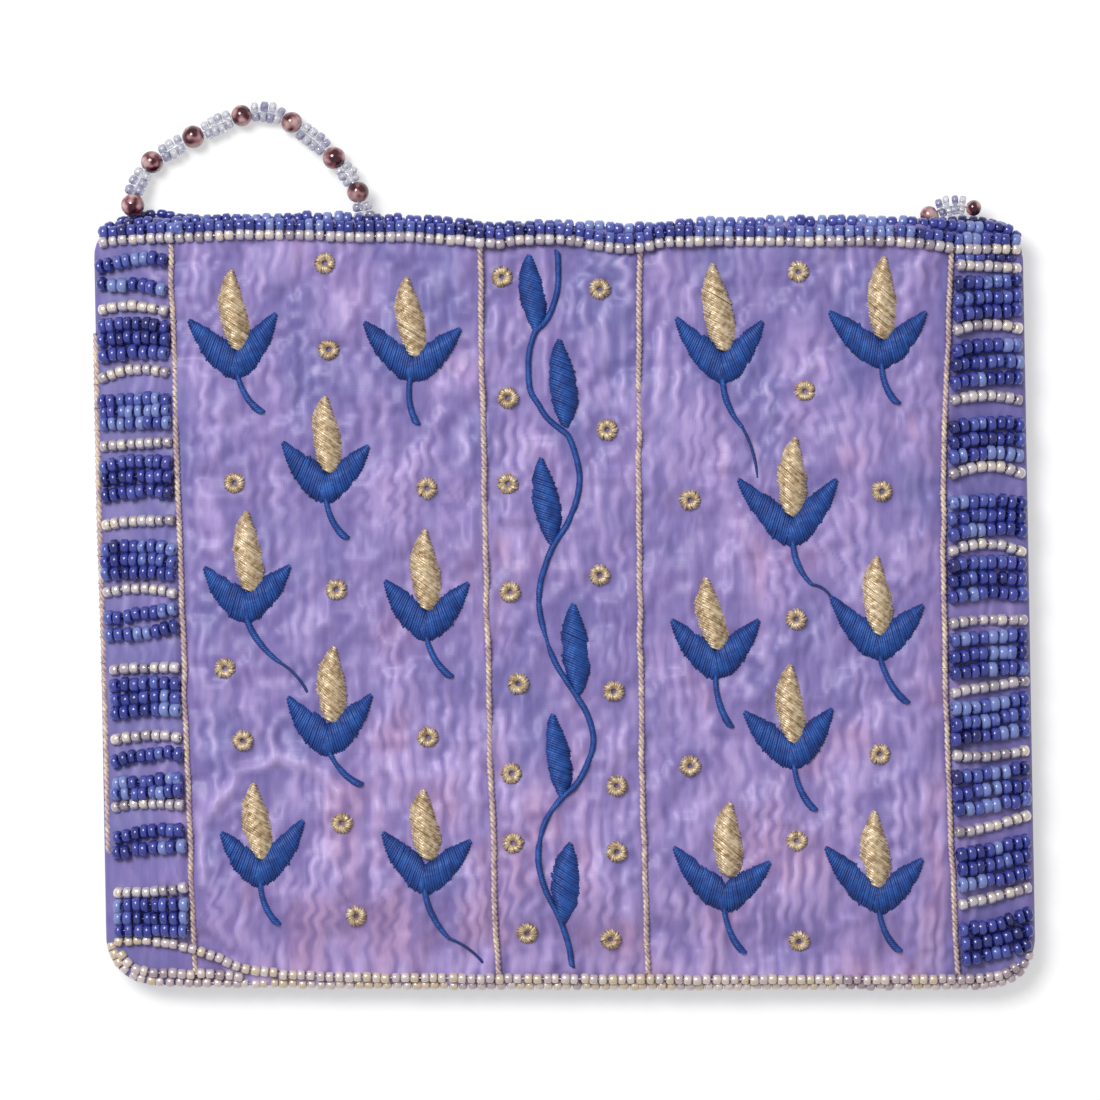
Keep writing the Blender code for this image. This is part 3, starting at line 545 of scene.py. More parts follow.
def settled_silk():
    """How far the silk lifts off its even shape, from a cloth simulation at SIM_SCALE times its size."""
    x, y = panel(SIM_COLUMNS, SIM_ROWS, FRONT_EDGE, MOUTH_EDGE, MOUTH_LINE)
    z = front_over(x, y)
    loose = np.stack([x, y, z + PUCKER * 0.3 * soft_noise(x, y, 0.004, 0.006, 35)], axis=-1).reshape(-1, 3)
    mesh = bpy.data.meshes.new("settling_silk")
    mesh.from_pydata((loose * SIM_SCALE).tolist(), [], grid_faces(*x.shape).tolist())
    cloth = bpy.data.objects.new("settling_silk", mesh)
    scene.collection.objects.link(cloth)
    pinned = np.nonzero(held_down(x, y).ravel() < PINNED)[0]
    cloth.vertex_groups.new(name="stitched").add(pinned.tolist(), 1.0, "REPLACE")
    settings = cloth.modifiers.new("settling", "CLOTH").settings
    light_silk = {
        "vertex_group_mass": "stitched", "quality": 5, "mass": 0.15, "bending_stiffness": 0.4,
        "tension_stiffness": 12.0, "compression_stiffness": 12.0, "shrink_min": -SIM_FULLNESS,
        "use_pressure": True, "uniform_pressure_force": 0.3}
    for key, value in light_silk.items():
        setattr(settings, key, value)
    settings.effector_weights.gravity = 0.0
    for number in range(1, SIM_STEPS + 1):
        scene.frame_set(number)
    settled = cloth.evaluated_get(bpy.context.evaluated_depsgraph_get()).to_mesh()
    heights = np.empty(len(settled.vertices) * 3)
    settled.vertices.foreach_get("co", heights)
    lift = heights.reshape(-1, 3)[:, 2] / SIM_SCALE - z.ravel()
    scene.frame_set(1)
    bpy.data.objects.remove(cloth)
    bpy.data.meshes.remove(mesh)
    return np.clip(lift, -SIM_CAP * 0.5, SIM_CAP).reshape(x.shape)


x, y = panel(FRONT_COLUMNS, FRONT_ROWS, FRONT_EDGE, MOUTH_EDGE, MOUTH_LINE)
free = held_down(x, y)
u = np.linspace(0.0, SIM_COLUMNS - 1.001, FRONT_COLUMNS)  # to just short of the last column
v = np.linspace(0.0, SIM_ROWS - 1.001, FRONT_ROWS)[:, None]
lift = read_grid(settled_silk().T, u, v)
in_border = np.clip((np.abs(x) - BORDER_FROM) / 0.002, 0.0, 1.0)
# Beside stitches, cords and seams and across the beaded borders the crinkles lie flatter, and less of their
# painted highlight shows, so the silk's colour is darker there: painted shade
crest = crinkles(x, y, seed=20) * (0.15 + 0.85 * free) * (1.0 - 0.5 * in_border)
crease = np.exp(-(distance_to(x, y, crease_places) / CREASE_WIDTH) ** 2)
pucker = soft_noise(x, y, 0.0068, 0.0090, 33) + 0.6 * soft_noise(x, y, 0.0034, 0.0060, 34)
z = front_over(x, y) - SUNK
z = z + lift + free * (PUCKER * pucker + CREASE_HEIGHT * crease)
z = z + CRINKLE_HEIGHT * (crest - 0.35) * (0.25 + 0.75 * free)
# a painted highlight along the crease's ridge
crest = np.clip(crest + 1.1 * crease * free, 0.0, 1.2)
tuck = np.exp(-(distance_to(x, y, between(*TUCK, 8)) / TUCK_WIDTH) ** 2)
z = z - TUCK_DEPTH * tuck
swayed = x + GATHER_SWAY * soft_noise(x, y, 0.0060, 0.0120, 37)
gathers = (0.5 + 0.5 * np.cos(2 * np.pi * swayed / GATHER_PITCH)) ** 1.5
gathers = np.exp(-((y + HALF_H) / GATHER_REACH) ** 2) * gathers * (1.0 - in_border)
z = z + GATHER_HEIGHT * gathers
# a painted highlight on the small puckers above the bottom seam
crest = np.clip(crest + 0.9 * gathers, 0.0, 1.2)
# Painted shadow under the mouth's rows of beads, and painted shade in the tuck and in the bottom-left corner
# under the bottom rows: the silk's colour is darkened there
row_shadow = np.clip((y - mouth_at(MOUTH_LINE, x) + ROW_SHADOW_REACH) / 0.0008, 0.0, 1.0)
corner_shade = np.clip((LEFT_FOOT[1] - y) / 0.001, 0.0, 1.0) * np.clip((LEFT_FOOT[0] - x) / 0.002, 0.0, 1.0)
crest = crest * (1.0 - np.maximum(np.maximum(tuck, corner_shade), 0.8 * row_shadow))

radius = np.where(outline(y) > HALF_H - MOUTH_HEIGHT, MOUTH_EDGE, FRONT_EDGE)
for _ in range(EDGE_SMOOTHING):
    radius = (np.roll(radius, 1) + radius + np.roll(radius, -1)) / 3
# Painted shade: the silk's colour is darker across the beaded borders, between their rows of beads
tone = dappled(x, y, seed=50) - 0.45 * in_border
front_silk = add_panel("front_panel", x, y, z, radius, -1, "front_silk", crest=crest, tone=tone)


# The blue cups and their stems.
# Two satin-stitched petals of twisted blue silk to each flower, stitch beside stitch from edge to edge
# over a padding of running stitches, and a curved stem of short slanting stitches.

THREAD_PITCH = 0.00034  # from one stitch to the next
THREAD = 0.00019  # radius of the laid thread
STITCH_SINK = 0.0002  # how deep its ends dive into the silk
PETAL_WIDTH = 0.0040
PETAL_CROWN = 0.0008
PETAL_PROFILE = (
    (0, 0.44), (0.08, 0.72), (0.2, 0.95), (0.32, 1), (0.5, 0.9), (0.68, 0.68), (0.84, 0.4),
    (0.95, 0.18), (1, 0.06),
)
PETAL_FOOT = 1.3  # millimetres from the cup's lowest point up to where its petals start
PETAL_CROSSING = 0.8  # millimetres past the middle where each petal starts
PETAL_BOW = 0.0005
LEFT_LOWER = 0.00014  # the right petal is stitched over the left one's foot
STEM_WIDTH = 0.00056
STEM_CROWN = 0.00045
STEM_SLANT = 1.4
STEM_BOW = 0.0007
TAPERED = ((0, 0.7), (0.5, 1), (0.9, 1.4), (1, 1.1))
NARROWED = ((0, 0.9), (0.5, 1.15), (1, 0.45))
TAILS = {4: (-34.8, -12.4), 8: (-11.1, -49.1), 9: (26.0, 16.5), 11: (35.9, 0.4)}  # single threads' ends
TAIL_BOW = 0.0004
BOW_POINTS = 24
PATCH_SCALE = 700.0  # lighter and darker patches of about 1.4 mm
TWIST_SCALE = 1500.0  # a turn of the thread every 0.2 mm


def distances(route):
    """Each point's distance from the start of a route."""
    return np.r_[0.0, np.cumsum(np.linalg.norm(np.diff(route, axis=0), axis=1))]


def along_route(route, places):
    """Points on a route at distances from its start, and unit directions ahead."""
    steps = distances(route)
    point, ahead = (np.stack([np.interp(places, steps, column) for column in values.T], axis=-1)
                    for values in (route, np.gradient(route, axis=0)))
    return point, ahead / np.linalg.norm(ahead, axis=-1, keepdims=True)


def bowed(start, end, bow):
    """A route in metres from start to end, in millimetres, bowed to the left by bow metres half way."""
    share = np.linspace(0.0, 1.0, BOW_POINTS)[:, None]
    start = np.array(start) * MM
    end = np.array(end) * MM
    left = np.array((-(end - start)[1], (end - start)[0]))
    left /= np.linalg.norm(left)
    return start + (end - start) * share + left * (4.0 * bow * share * (1.0 - share))


def laid(x, y, lift):
    """Points on the front at the given lift."""
    return np.stack([x, y, front_over(x, y) + lift], axis=-1)


def beside_and_above(along):
    """Unit directions to the side of directions and up out of them."""
    side = np.cross(along, (0.0, 0.0, 1.0))
    side /= np.linalg.norm(side, axis=-1, keepdims=True) + 1e-12
    return side, np.cross(side, along)


def rings_round(along, sides):
    """Unit directions to evenly spread points round each direction."""
    side, top = beside_and_above(along)
    angle = (np.arange(sides) * 2 * np.pi / sides)[:, None]
    return side[..., None, :] * np.cos(angle) + top[..., None, :] * np.sin(angle)


def tubes(lines, radius, sides=6):
    """Round threads along an array of lines of points."""
    along = np.gradient(lines, axis=1)
    along /= np.linalg.norm(along, axis=2, keepdims=True) + 1e-12
    points = lines[:, :, None] + rings_round(along, sides) * radius
    index = np.arange(points.size // 3).reshape(points.shape[:3])
    ahead = np.roll(index, -1, axis=2)
    faces = np.stack([index[:, :-1], ahead[:, :-1], ahead[:, 1:], index[:, 1:]], axis=-1)
    return points.reshape(-1, 3), faces.reshape(-1, 4)


def joined(parts):
    """Points and faces of several meshes as one, and each point's shade from those of their threads."""
    points, faces, shades = [], [], []
    total = 0
    for part_points, part_faces, part_shades in parts:
        points.append(part_points)
        faces.append(part_faces + total)
        shades.append(np.repeat(part_shades, len(part_points) // len(part_shades)))
        total += len(part_points)
    return np.concatenate(points), np.concatenate(faces), np.concatenate(shades)


def satin(route, half_width, crown, slant, profile, bends=8):
    """Lines of stitches side by side across a leaf along a route, and how near each point is to its edges.

    profile gives the leaf's width along it, as pairs of shares; slant is how steeply the stitches run."""
    length = distances(route)[-1]
    count = max(int(length / THREAD_PITCH), 4)
    at = (np.arange(count) + 0.5) / count
    shape = np.interp(at, *zip(*profile))
    width = half_width * shape
    uneven = np.random.RandomState(count).uniform(-1.0, 1.0, (count, 3))
    ends = []
    for side, wider in ((1, uneven[:, 0]), (-1, uneven[:, 1])):
        point, ahead = along_route(route, at * length + side * slant * width)
        left = np.stack([-ahead[:, 1], ahead[:, 0]], axis=-1)
        ends.append(point + side * left * (width * (1.0 + 0.07 * wider))[:, None])
    share = np.linspace(0.0, 1.0, bends)
    flat = ends[0][:, None] * (1.0 - share)[:, None] + ends[1][:, None] * share[:, None]
    arch = np.sin(np.pi * share) ** 0.7
    lift = crown * (0.30 + 0.70 * shape)[:, None] * arch * (1.0 + 0.06 * uneven[:, 2:])
    return laid(flat[..., 0], flat[..., 1], lift - STITCH_SINK * (1.0 - arch)), np.abs(2.0 * share - 1.0)


def add_stitches(name, groups, look, node, seed, radius=THREAD, sides=6):
    """One piece of stitches from several groups of lines, each thread a little lighter or darker."""
    random = np.random.RandomState(seed)
    parts = [(*tubes(lines, radius, sides), random.uniform(0.0, 1.0, len(lines))) for lines, _ in groups]
    edges = [np.tile(np.repeat(across, sides), len(lines)) for lines, across in groups]
    points, faces, shade = joined(parts)
    add_piece(name, points, faces, look, node, {"shade": shade, "edge": np.concatenate(edges)})


# Twisted embroidery silk, dyed royal blue: smooth fibres with a soft sheen along each stitch, and painted
# shade that darkens each stitch where it dives into the cloth
blue_thread, tree = new_material("blue_embroidery_silk")
coords = add_node(tree, "TexCoord").outputs["Object"]
shade = add_node(tree, "Attribute", attribute_name="shade").outputs["Fac"]
edge = add_node(tree, "Attribute", attribute_name="edge").outputs["Fac"]
# painted shade towards the ends of each stitch, where it dives into the cloth
end_shade_mask = add_node(tree, "Math", {0: edge, 1: 3.0}, operation="POWER")
end_shaded = add_node(tree, "Math", {0: end_shade_mask, 1: -0.55, 2: 0.62}, operation="MULTIPLY_ADD")
varied = add_node(tree, "Math", {0: shade, 1: 0.30, 2: end_shaded}, operation="MULTIPLY_ADD")
patches = add_node(tree, "TexNoise", {"Vector": coords, "Scale": PATCH_SCALE, "Detail": 2.0})
varied = add_node(tree, "Math", {0: patches, 1: varied}, operation="MULTIPLY")
dye = add_node(tree, "ValToRGB", {"Fac": varied}, stops=[
    (0.04, "#11245e"), (0.34, "#1a4491"), (0.62, "#265fb2")])
twist = add_node(tree, "TexWave", {"Vector": coords, "Scale": TWIST_SCALE, "Distortion": 2.0},
                 bands_direction="DIAGONAL")
bump = add_node(tree, "Bump", {"Height": twist.outputs["Fac"], "Strength": 0.4, "Distance": 0.00005})
thread = add_node(tree, "BsdfPrincipled", {
    "Base Color": dye, "Roughness": 0.5, "IOR": 1.5, "Sheen Weight": 0.2, "Sheen Roughness": 0.4,
    "Sheen Tint": linear("#5b8bd8"), "Normal": bump})
add_node(tree, "OutputMaterial", {"Surface": thread})

for number, (bud_tip, bud_foot, left_tip, right_tip, low, stem_end) in enumerate(FLOWERS, 1):
    foot = np.array(low) + (0.0, PETAL_FOOT)
    left_route = bowed(foot + (PETAL_CROSSING, 0.0), left_tip, PETAL_BOW)
    right_route = bowed(foot - (PETAL_CROSSING, 0.0), right_tip, -PETAL_BOW)
    stem_route = bowed(foot, stem_end, -STEM_BOW)
    stem_profile = NARROWED if number in TAILS else TAPERED
    groups = [satin(left_route, PETAL_WIDTH / 2, PETAL_CROWN - LEFT_LOWER, -0.45, PETAL_PROFILE),
              satin(right_route, PETAL_WIDTH / 2, PETAL_CROWN, 0.45, PETAL_PROFILE),
              satin(stem_route, STEM_WIDTH / 2, STEM_CROWN, STEM_SLANT, stem_profile, bends=6)]
    if number in TAILS:
        tail = bowed(stem_end, TAILS[number], TAIL_BOW)
        groups.append((laid(*tail.T, THREAD * 0.8)[None], np.ones(len(tail))))
    node = "cup_%02d" % number
    add_stitches(node.replace("_", "_stitches_"), groups, blue_thread, node, number)


# The gold buds.
# One padded pointed oval of gold thread above each cup, satin-stitched across like the petals.

BUD_WIDTH = 0.0041
BUD_CROWN = 0.0011
BUD_PROFILE = (
    (0, 0.3), (0.1, 0.66), (0.25, 0.9), (0.42, 1), (0.62, 0.88), (0.8, 0.55), (0.93, 0.24), (1, 0.06),
)
FOIL_SCALE = 1500.0  # painted glints of about 0.7 mm, along a few wraps of the foil
FOIL_TWIST_SCALE = 1300.0  # a turn of the thread every 0.24 mm


def speckled(tree, scale, detail, speckle, apart, stops):
    """A colour that varies within each thread or bead by speckle, and from one to the next by apart."""
    coords = add_node(tree, "TexCoord").outputs["Object"]
    shade = add_node(tree, "Attribute", attribute_name="shade").outputs["Fac"]
    noise = add_node(tree, "TexNoise", {"Vector": coords, "Scale": scale, "Detail": detail})
    noise = add_node(tree, "Math", {0: noise, 1: speckle}, operation="MULTIPLY")
    varied = add_node(tree, "Math", {0: shade, 1: apart, 2: noise}, operation="MULTIPLY_ADD")
    return add_node(tree, "ValToRGB", {"Fac": varied}, stops=stops)


# Gold embroidery thread, fine metal foil wound on a silk core: painted highlights and painted shade, a
# glint or a dark spot on each wrap, make a stitch look speckled
gold_thread, tree = new_material("gold_embroidery_thread")
foil = speckled(tree, FOIL_SCALE, 3.0, 1.0, 0.22, [(0.36, "#957b5c"), (0.56, "#c4ab87"), (0.80, "#e8d6b8")])
coords = add_node(tree, "TexCoord").outputs["Object"]
twist = add_node(tree, "TexWave", {"Vector": coords, "Scale": FOIL_TWIST_SCALE, "Distortion": 3.0},
                 bands_direction="DIAGONAL")
bump = add_node(tree, "Bump", {"Height": twist.outputs["Fac"], "Strength": 0.6, "Distance": 0.00006})
thread = add_node(tree, "BsdfPrincipled", {
    "Base Color": foil, "Metallic": 0.35, "Roughness": 0.42, "Normal": bump})
add_node(tree, "OutputMaterial", {"Surface": thread})

for number, (bud_tip, bud_foot, *_) in enumerate(FLOWERS, 1):
    lines = satin(bowed(bud_foot, bud_tip, 0.0), BUD_WIDTH / 2, BUD_CROWN, 0.75, BUD_PROFILE)
    node = "bud_%02d" % number
    add_stitches(node.replace("_", "_stitches_"), [lines], gold_thread, node, 40 + number)


# The vine of the middle band.
# One wavy stem of slanting blue stitches from the mouth to the bottom, with six satin-stitched leaves
# that meet it one after another.

VINE_STEP = 0.0004
EVEN = ((0, 1), (1, 1))
LEAF_CROWN = 0.0008
LEAF_PROFILE = ((0, 0.2), (0.12, 0.55), (0.3, 0.9), (0.5, 1), (0.7, 0.82), (0.88, 0.42), (1, 0.07))


def smoothed(places, step):
    """A smooth line through the places, cut into even steps."""
    places = np.asarray(places, dtype=float)
    padded = np.concatenate([[2 * places[0] - places[1]], places, [2 * places[-1] - places[-2]]])
    t = np.linspace(0.0, 1.0, 12, endpoint=False)[:, None]
    pieces = []
    for a, b, c, d in zip(padded, padded[1:], padded[2:], padded[3:]):
        curve = 2 * b + (c - a) * t + (2 * a - 5 * b + 4 * c - d) * t ** 2 + (3 * b - a - 3 * c + d) * t ** 3
        pieces.append(0.5 * curve)
    dense = np.concatenate(pieces + [places[-1:]])
    length = distances(dense)[-1]
    return along_route(dense, np.linspace(0.0, length, int(round(length / step)) + 1))[0]


vine_route = smoothed(np.array(VINE) * MM, VINE_STEP)
vine_groups = [satin(vine_route, STEM_WIDTH / 2, STEM_CROWN, STEM_SLANT, EVEN, bends=6)]
for tip, foot, width in LEAVES:
    vine_groups.append(satin(bowed(foot, tip, 0.0), width * MM / 2, LEAF_CROWN, 0.5, LEAF_PROFILE))
add_stitches("vine_stitches", vine_groups, blue_thread, "vine", 60)


# The gold dots.
# Thirty-four eyelets of gold thread, each wound round and round through one small hole in the silk.

DOT_RADIUS = 0.00138
DOT_HOLE = 0.00048
DOT_CROWN = 0.00060
DOT_DIVE = 0.00018  # how deep the outer end of a stitch goes
DOT_STITCHES = 20
DOT_LEAN = 0.16  # radians that a stitch leans to each side
DOT_THREAD = 0.00021

share = np.linspace(0.0, 1.0, 7)
arch = np.sin(np.pi * np.linspace(0.02, 1.0, 7)) ** 0.6
dot_lines = []
for number, (x, y) in enumerate(DOTS):
    random = np.random.RandomState(200 + number)
    for k in range(DOT_STITCHES):
        angle = 2 * math.pi * (k + 0.25 * random.uniform(-1, 1)) / DOT_STITCHES
        reach = np.linspace(DOT_HOLE, DOT_RADIUS * random.uniform(0.90, 1.02), 7)
        lean = angle + np.linspace(-DOT_LEAN, DOT_LEAN, 7)
        lift = DOT_CROWN * arch - DOT_DIVE * share ** 4
        dot_lines.append(laid(x * MM + reach * np.cos(lean), y * MM + reach * np.sin(lean), lift))
add_stitches("gold_dots", [(np.array(dot_lines), share)], gold_thread, "front_silk", 61,
             radius=DOT_THREAD, sides=5)


# The gold cords.
# Four two-ply cords of gold thread laid on the silk from the mouth to the bottom and couched down with
# small stitches, and one thinner cord along the pouch's left edge.

CORD_RADIUS = 0.00041
CORD_TURN = 0.0016  # length of one full twist
CORD_WAVER = 0.00016
CORD_ENDS = (0.0042, 0.0014)  # how far the cords end from the cloth's top and bottom
COUCH_STEP = 0.0034
EDGE_CORD_RADIUS = 0.00044
EDGE_CORD_PLACES = ((-34.5, -61.8), (-20, -62.1), (-5, -62.5), (10, -63), (24, -63.3), (36, -63.5))  # Y, X
STEP = 0.00025
CORE_SCALE = 700.0  # patches of foil and bare core of about 1.4 mm

# Rose gold thread, fine foil wound on a pink silk core that shows between the wraps: paler and duller
# than the buds' thread
rose_gold_thread, tree = new_material("rose_gold_couching_thread")
foil = speckled(tree, CORE_SCALE, 4.0, 1.0, 0.16, [(0.36, "#a3899a"), (0.54, "#c6aeac"), (0.76, "#e6d5bd")])
thread = add_node(tree, "BsdfPrincipled", {"Base Color": foil, "Metallic": 0.2, "Roughness": 0.5})
add_node(tree, "OutputMaterial", {"Surface": thread})


def add_cord(name, route, radius, seed):
    """A cord of two strands twisted round each other and couched down, along points that are STEP apart."""
    along = np.gradient(route, axis=0)
    side, top = beside_and_above(along / np.linalg.norm(along, axis=1)[:, None])
    turned = 2 * math.pi * distances(route) / (CORD_TURN * radius / CORD_RADIUS)
    strands = []
    for start in (0.0, math.pi):
        angle = (turned + start)[:, None]
        strands.append(route + (side * np.cos(angle) + top * np.sin(angle)) * radius * 0.5)
    random = np.random.RandomState(seed)
    share = np.linspace(-1.0, 1.0, 7)
    arch = radius * 1.9 * np.cos(share * np.pi / 2) ** 0.6 - radius * 0.95
    ties = []
    for place in np.arange(COUCH_STEP, len(route) * STEP - COUCH_STEP, COUCH_STEP):
        k = int(place / STEP + random.uniform(-2, 2))
        ahead = route[k + 1] - route[k]
        across = np.array((-ahead[1], ahead[0], 0.0))
        across /= np.linalg.norm(across)
        tie = route[k] + across * (share * radius * 1.02)[:, None]
        tie[:, 2] += arch
        ties.append(tie)
    points, faces, shade = joined([(*tubes(np.array(strands), radius * 0.56), [0.5]),
                                   (*tubes(np.array(ties), radius * 0.28, 5), [0.15])])
    add_piece(name + "_strands", points, faces, rose_gold_thread, name, {"shade": shade})


for number, cord_name in enumerate(CORDS):
    y = np.arange(HALF_H - CORD_ENDS[0], -HALF_H + CORD_ENDS[1], -STEP)
    x = cord_x(cord_name, y)
    x = x + CORD_WAVER * soft_noise(x, y, 0.01, 0.004, 90 + number)
    add_cord(cord_name, laid(x, y, CORD_RADIUS * 0.7), CORD_RADIUS, number)

y = np.arange(EDGE_CORD_PLACES[-1][0] * MM, EDGE_CORD_PLACES[0][0] * MM, -STEP)
x = mouth_at(EDGE_CORD_PLACES, y)
add_cord("left_edge_cord", laid(x, y, EDGE_CORD_RADIUS * 0.5), EDGE_CORD_RADIUS, 9)


# The beaded borders.
# Rows of small glass seed beads strung on thread and sewn across a strip of the silk down each side:
# cobalt and violet blue rows in pairs, and a silver-lined white row between the pairs.

SHADE_RUN = 0.0034  # about how long a run of like beads is
BLUE_BEAD = (0.00205, 0.00135)  # across, and along the thread
WHITE_BEAD = (0.00160, 0.00136)
BEAD_SHAPE = ((-0.3, 1), (0.3, 1), (0.5, 0.7), (0.4, 0.34), (-0.4, 0.34), (-0.5, 0.7))  # round its hole
BEAD_SIDES = 12
BEAD_THREAD = 0.00014
BLUE_ROWS = {  # Y of each row in millimetres at its outer end, half way and at its inner end
    "left": (
        (44.8, 46.1, 45.8), (42.6, 42.6, 41.9), (36.9, 37.4, 36.7), (34.9, 35.5, 35),
        (32.9, 33.5, 33.3), (26.6, 27.1, 27), (25.3, 25.5, 25.5), (23.7, 23.9, 23.9),
        (17.9, 18.7, 18.3), (16.1, 16.7, 16.5), (13.8, 14.7, 14.5), (6.7, 7.3, 6.7), (4.9, 5.5, 4.9),
        (3.4, 3.8, 3.3), (-2.6, -1.9, -1.2), (-4.9, -4.5, -3.5), (-11.8, -11.3, -11.4),
        (-13.8, -13.2, -13.2), (-15.6, -14.9, -14.9), (-22.2, -20.9, -20.8), (-24.9, -24.5, -24),
        (-26.3, -26.1, -25.7), (-32.2, -31.3, -31), (-34.5, -33.5, -33.4), (-41.4, -41.2, -41),
        (-43.2, -43.1, -42.9), (-44.8, -44.7, -44.7),
    ),
    "right": (
        (43.3, 43, 42.8), (41.2, 40.9, 40.6), (39.3, 39, 38.4), (34.4, 34.4, 33.6), (32.2, 32.2, 31.6),
        (29.9, 29.9, 29.3), (23.6, 23.9, 23), (21.5, 21.8, 21), (19.6, 19.8, 19.1), (12.9, 13.4, 12.9),
        (11, 11.5, 10.8), (9.4, 9.6, 8.7), (4.7, 5.1, 4.4), (2.6, 3.1, 2.3), (0.6, 1, 0.2),
        (-5, -5, -5.6), (-7.2, -7.2, -7.8), (-9.2, -9.3, -10), (-13.3, -14.2, -14.8),
        (-15.4, -16.2, -16.8), (-17.5, -18.2, -18.8), (-22.8, -23.4, -24.2), (-24.9, -25.6, -26.3),
        (-27, -27.7, -28.5), (-32.4, -33.6, -34.4), (-34.6, -35.7, -36.5), (-36.7, -37.8, -38.5),
        (-42.4, -43.9, -44.6), (-44.5, -45.9, -46.6), (-46.6, -47.9, -48.6),
    ),
}
WHITE_ROWS = {
    "left": (
        (39.2, 39.8, 38.9), (29.9, 31.2, 30.6), (20.7, 21.1, 21.3), (10.1, 10.7, 10.7), (0.9, 1.6, 0.8),
        (-9.5, -9.2, -9.2), (-19.1, -18.3, -18.6), (-28.1, -27.5, -27.8), (-39.6, -39.5, -38.8),
    ),
    "right": (
        (44.9, 45.1, 45.3), (36.6, 37.3, 36.3), (26.9, 27.6, 26.8), (17, 18.1, 16.7), (6.3, 7.6, 6.4),
        (-2.8, -2.7, -3.2), (-11, -11.7, -12.6), (-20.3, -21.1, -21), (-29, -30.6, -31.4),
        (-38.9, -40.1, -41.2),
    ),
}
LEFT_GAP = ((-52.0, 1.4), (-8.0, 1.4), (-2.0, 0.6), (52.0, 0.5))  # Y, and from the left edge to its rows
RIGHT_GAP = 0.0006
CORD_GAP = 0.0006
ROW_DROOP = 0.0005  # how far a row bends down at its outer end


def turned_beads(centres, along, wide, long, profile, around):
    """Beads from a closed profile, in lengths along the thread and half-widths out from it."""
    along = along / np.linalg.norm(along, axis=1)[:, None]
    profile = np.array(profile)
    out = rings_round(along, around)[:, None] * (profile[:, 1] * wide[:, None] / 2)[:, :, None, None]
    forward = along[:, None, None] * (profile[:, 0] * long[:, None])[:, :, None, None]
    points = centres[:, None, None] + out + forward
    index = np.arange(points.size // 3).reshape(points.shape[:3])
    right = np.roll(index, -1, axis=2)
    faces = np.stack([index, np.roll(index, -1, axis=1), np.roll(right, -1, axis=1), right], axis=-1)
    return points.reshape(-1, 3), faces.reshape(-1, 4)


def bead_rows(name, rows, bead, look, node, seed, loose=0.00007):
    """Rows of beads along routes, each bead a little out of line, with their threads, as one piece."""
    shades = np.random.RandomState(seed)
    parts = []
    for number, route in enumerate(rows):
        random = np.random.RandomState(seed * 100 + number)
        length = distances(route)[-1]
        count = max(int(round(length / bead[1])), 1)
        at = (np.arange(count) + 0.5) / count * length + random.uniform(-0.05, 0.05, count) * bead[1]
        centre, ahead = along_route(route, at)
        ahead = ahead + random.uniform(-0.10, 0.10, (count, 3))
        centre = centre + random.uniform(-loose, loose, (count, 3))
        wide = bead[0] * random.uniform(0.93, 1.05, count)
        long = random.uniform(0.80, 0.98, count) * length / count
        run = 0.45 * soft_noise(centre[:, 0], centre[:, 1], SHADE_RUN, SHADE_RUN, seed)
        shade = np.clip(0.5 + run + shades.uniform(-0.3, 0.3, count), 0.0, 1.0)
        parts.append((*turned_beads(centre, ahead, wide, long, BEAD_SHAPE, BEAD_SIDES), shade))
        parts.append((*tubes(route[None], BEAD_THREAD, 5), [0.5]))
    points, faces, shade = joined(parts)
    add_piece(name, points, faces, look, node, {"shade": shade})


def border_route(side_name, places, wide):
    """A bead row across one border, from its gold cord to the outer edge, through three places."""
    side = 1.0 if side_name == "right" else -1.0
    outer_y, middle_y, inner_y = (place * MM for place in places)
    share = np.linspace(0.0, 1.0, 14)
    inner = abs(cord_x("gold_cord_" + side_name, inner_y)) + CORD_GAP
    outer = HALF_W - side * LEAN * outer_y / HALF_H
    outer -= RIGHT_GAP if side > 0 else mouth_at(LEFT_GAP, outer_y)
    down = max(-HALF_H + BOTTOM_CORNER - outer_y, 0.0)
    outer -= BOTTOM_CORNER - math.sqrt(max(BOTTOM_CORNER ** 2 - down ** 2, 0.0))
    bend = 2.0 * (outer_y + inner_y - 2.0 * middle_y)
    row_y = inner_y + (outer_y - inner_y - bend) * share + bend * share ** 2
    row = laid(side * (inner + (outer - inner) * share), row_y, 0.0001 + wide * 0.5)
    row[:, 2] -= ROW_DROOP * np.clip((share - 0.86) / 0.14, 0.0, 1.0) ** 2
    return row


def bead_glass(name, scale, swirl, stops, finish):
    """Glass with faint swirls for seed beads, each bead with its own shade."""
    material, tree = new_material(name)
    tint = speckled(tree, scale, 2.0, swirl, 1.0, stops)
    glass = add_node(tree, "BsdfPrincipled", {"Base Color": tint, **finish})
    add_node(tree, "OutputMaterial", {"Surface": glass})
    return material


# Transparent cobalt and violet glass seed beads, cut from drawn cane and fire-polished: dark bodies with
# bright points, a few greener than the rest, and a few painted paler, a painted reflection of the light
# inside the glass; swirls of about 0.9 mm
blue_glass = bead_glass("cobalt_seed_bead_glass", 1100.0, 0.40, [
    (0.18, "#1e226e"), (0.45, "#303c9c"), (0.72, "#464cac"), (0.95, "#5c6cc0"), (1.0, "#8494d6")], {
    "Roughness": 0.26, "IOR": 1.52, "Specular IOR Level": 0.7, "Transmission Weight": 0.2,
    "Coat Weight": 0.5, "Coat Roughness": 0.12})

# Clear glass seed beads with a silver-lined hole: bright and a little warm, greyer where they turn away,
# with swirls of about 0.8 mm
white_glass = bead_glass("silver_lined_seed_bead_glass", 1300.0, 0.45, [
    (0.15, "#a59aa6"), (0.50, "#c9bec6"), (0.85, "#e2d9de"), (1.00, "#ecdfd4")], {
    "Roughness": 0.25, "Metallic": 0.45, "Coat Weight": 0.5, "Coat Roughness": 0.08})

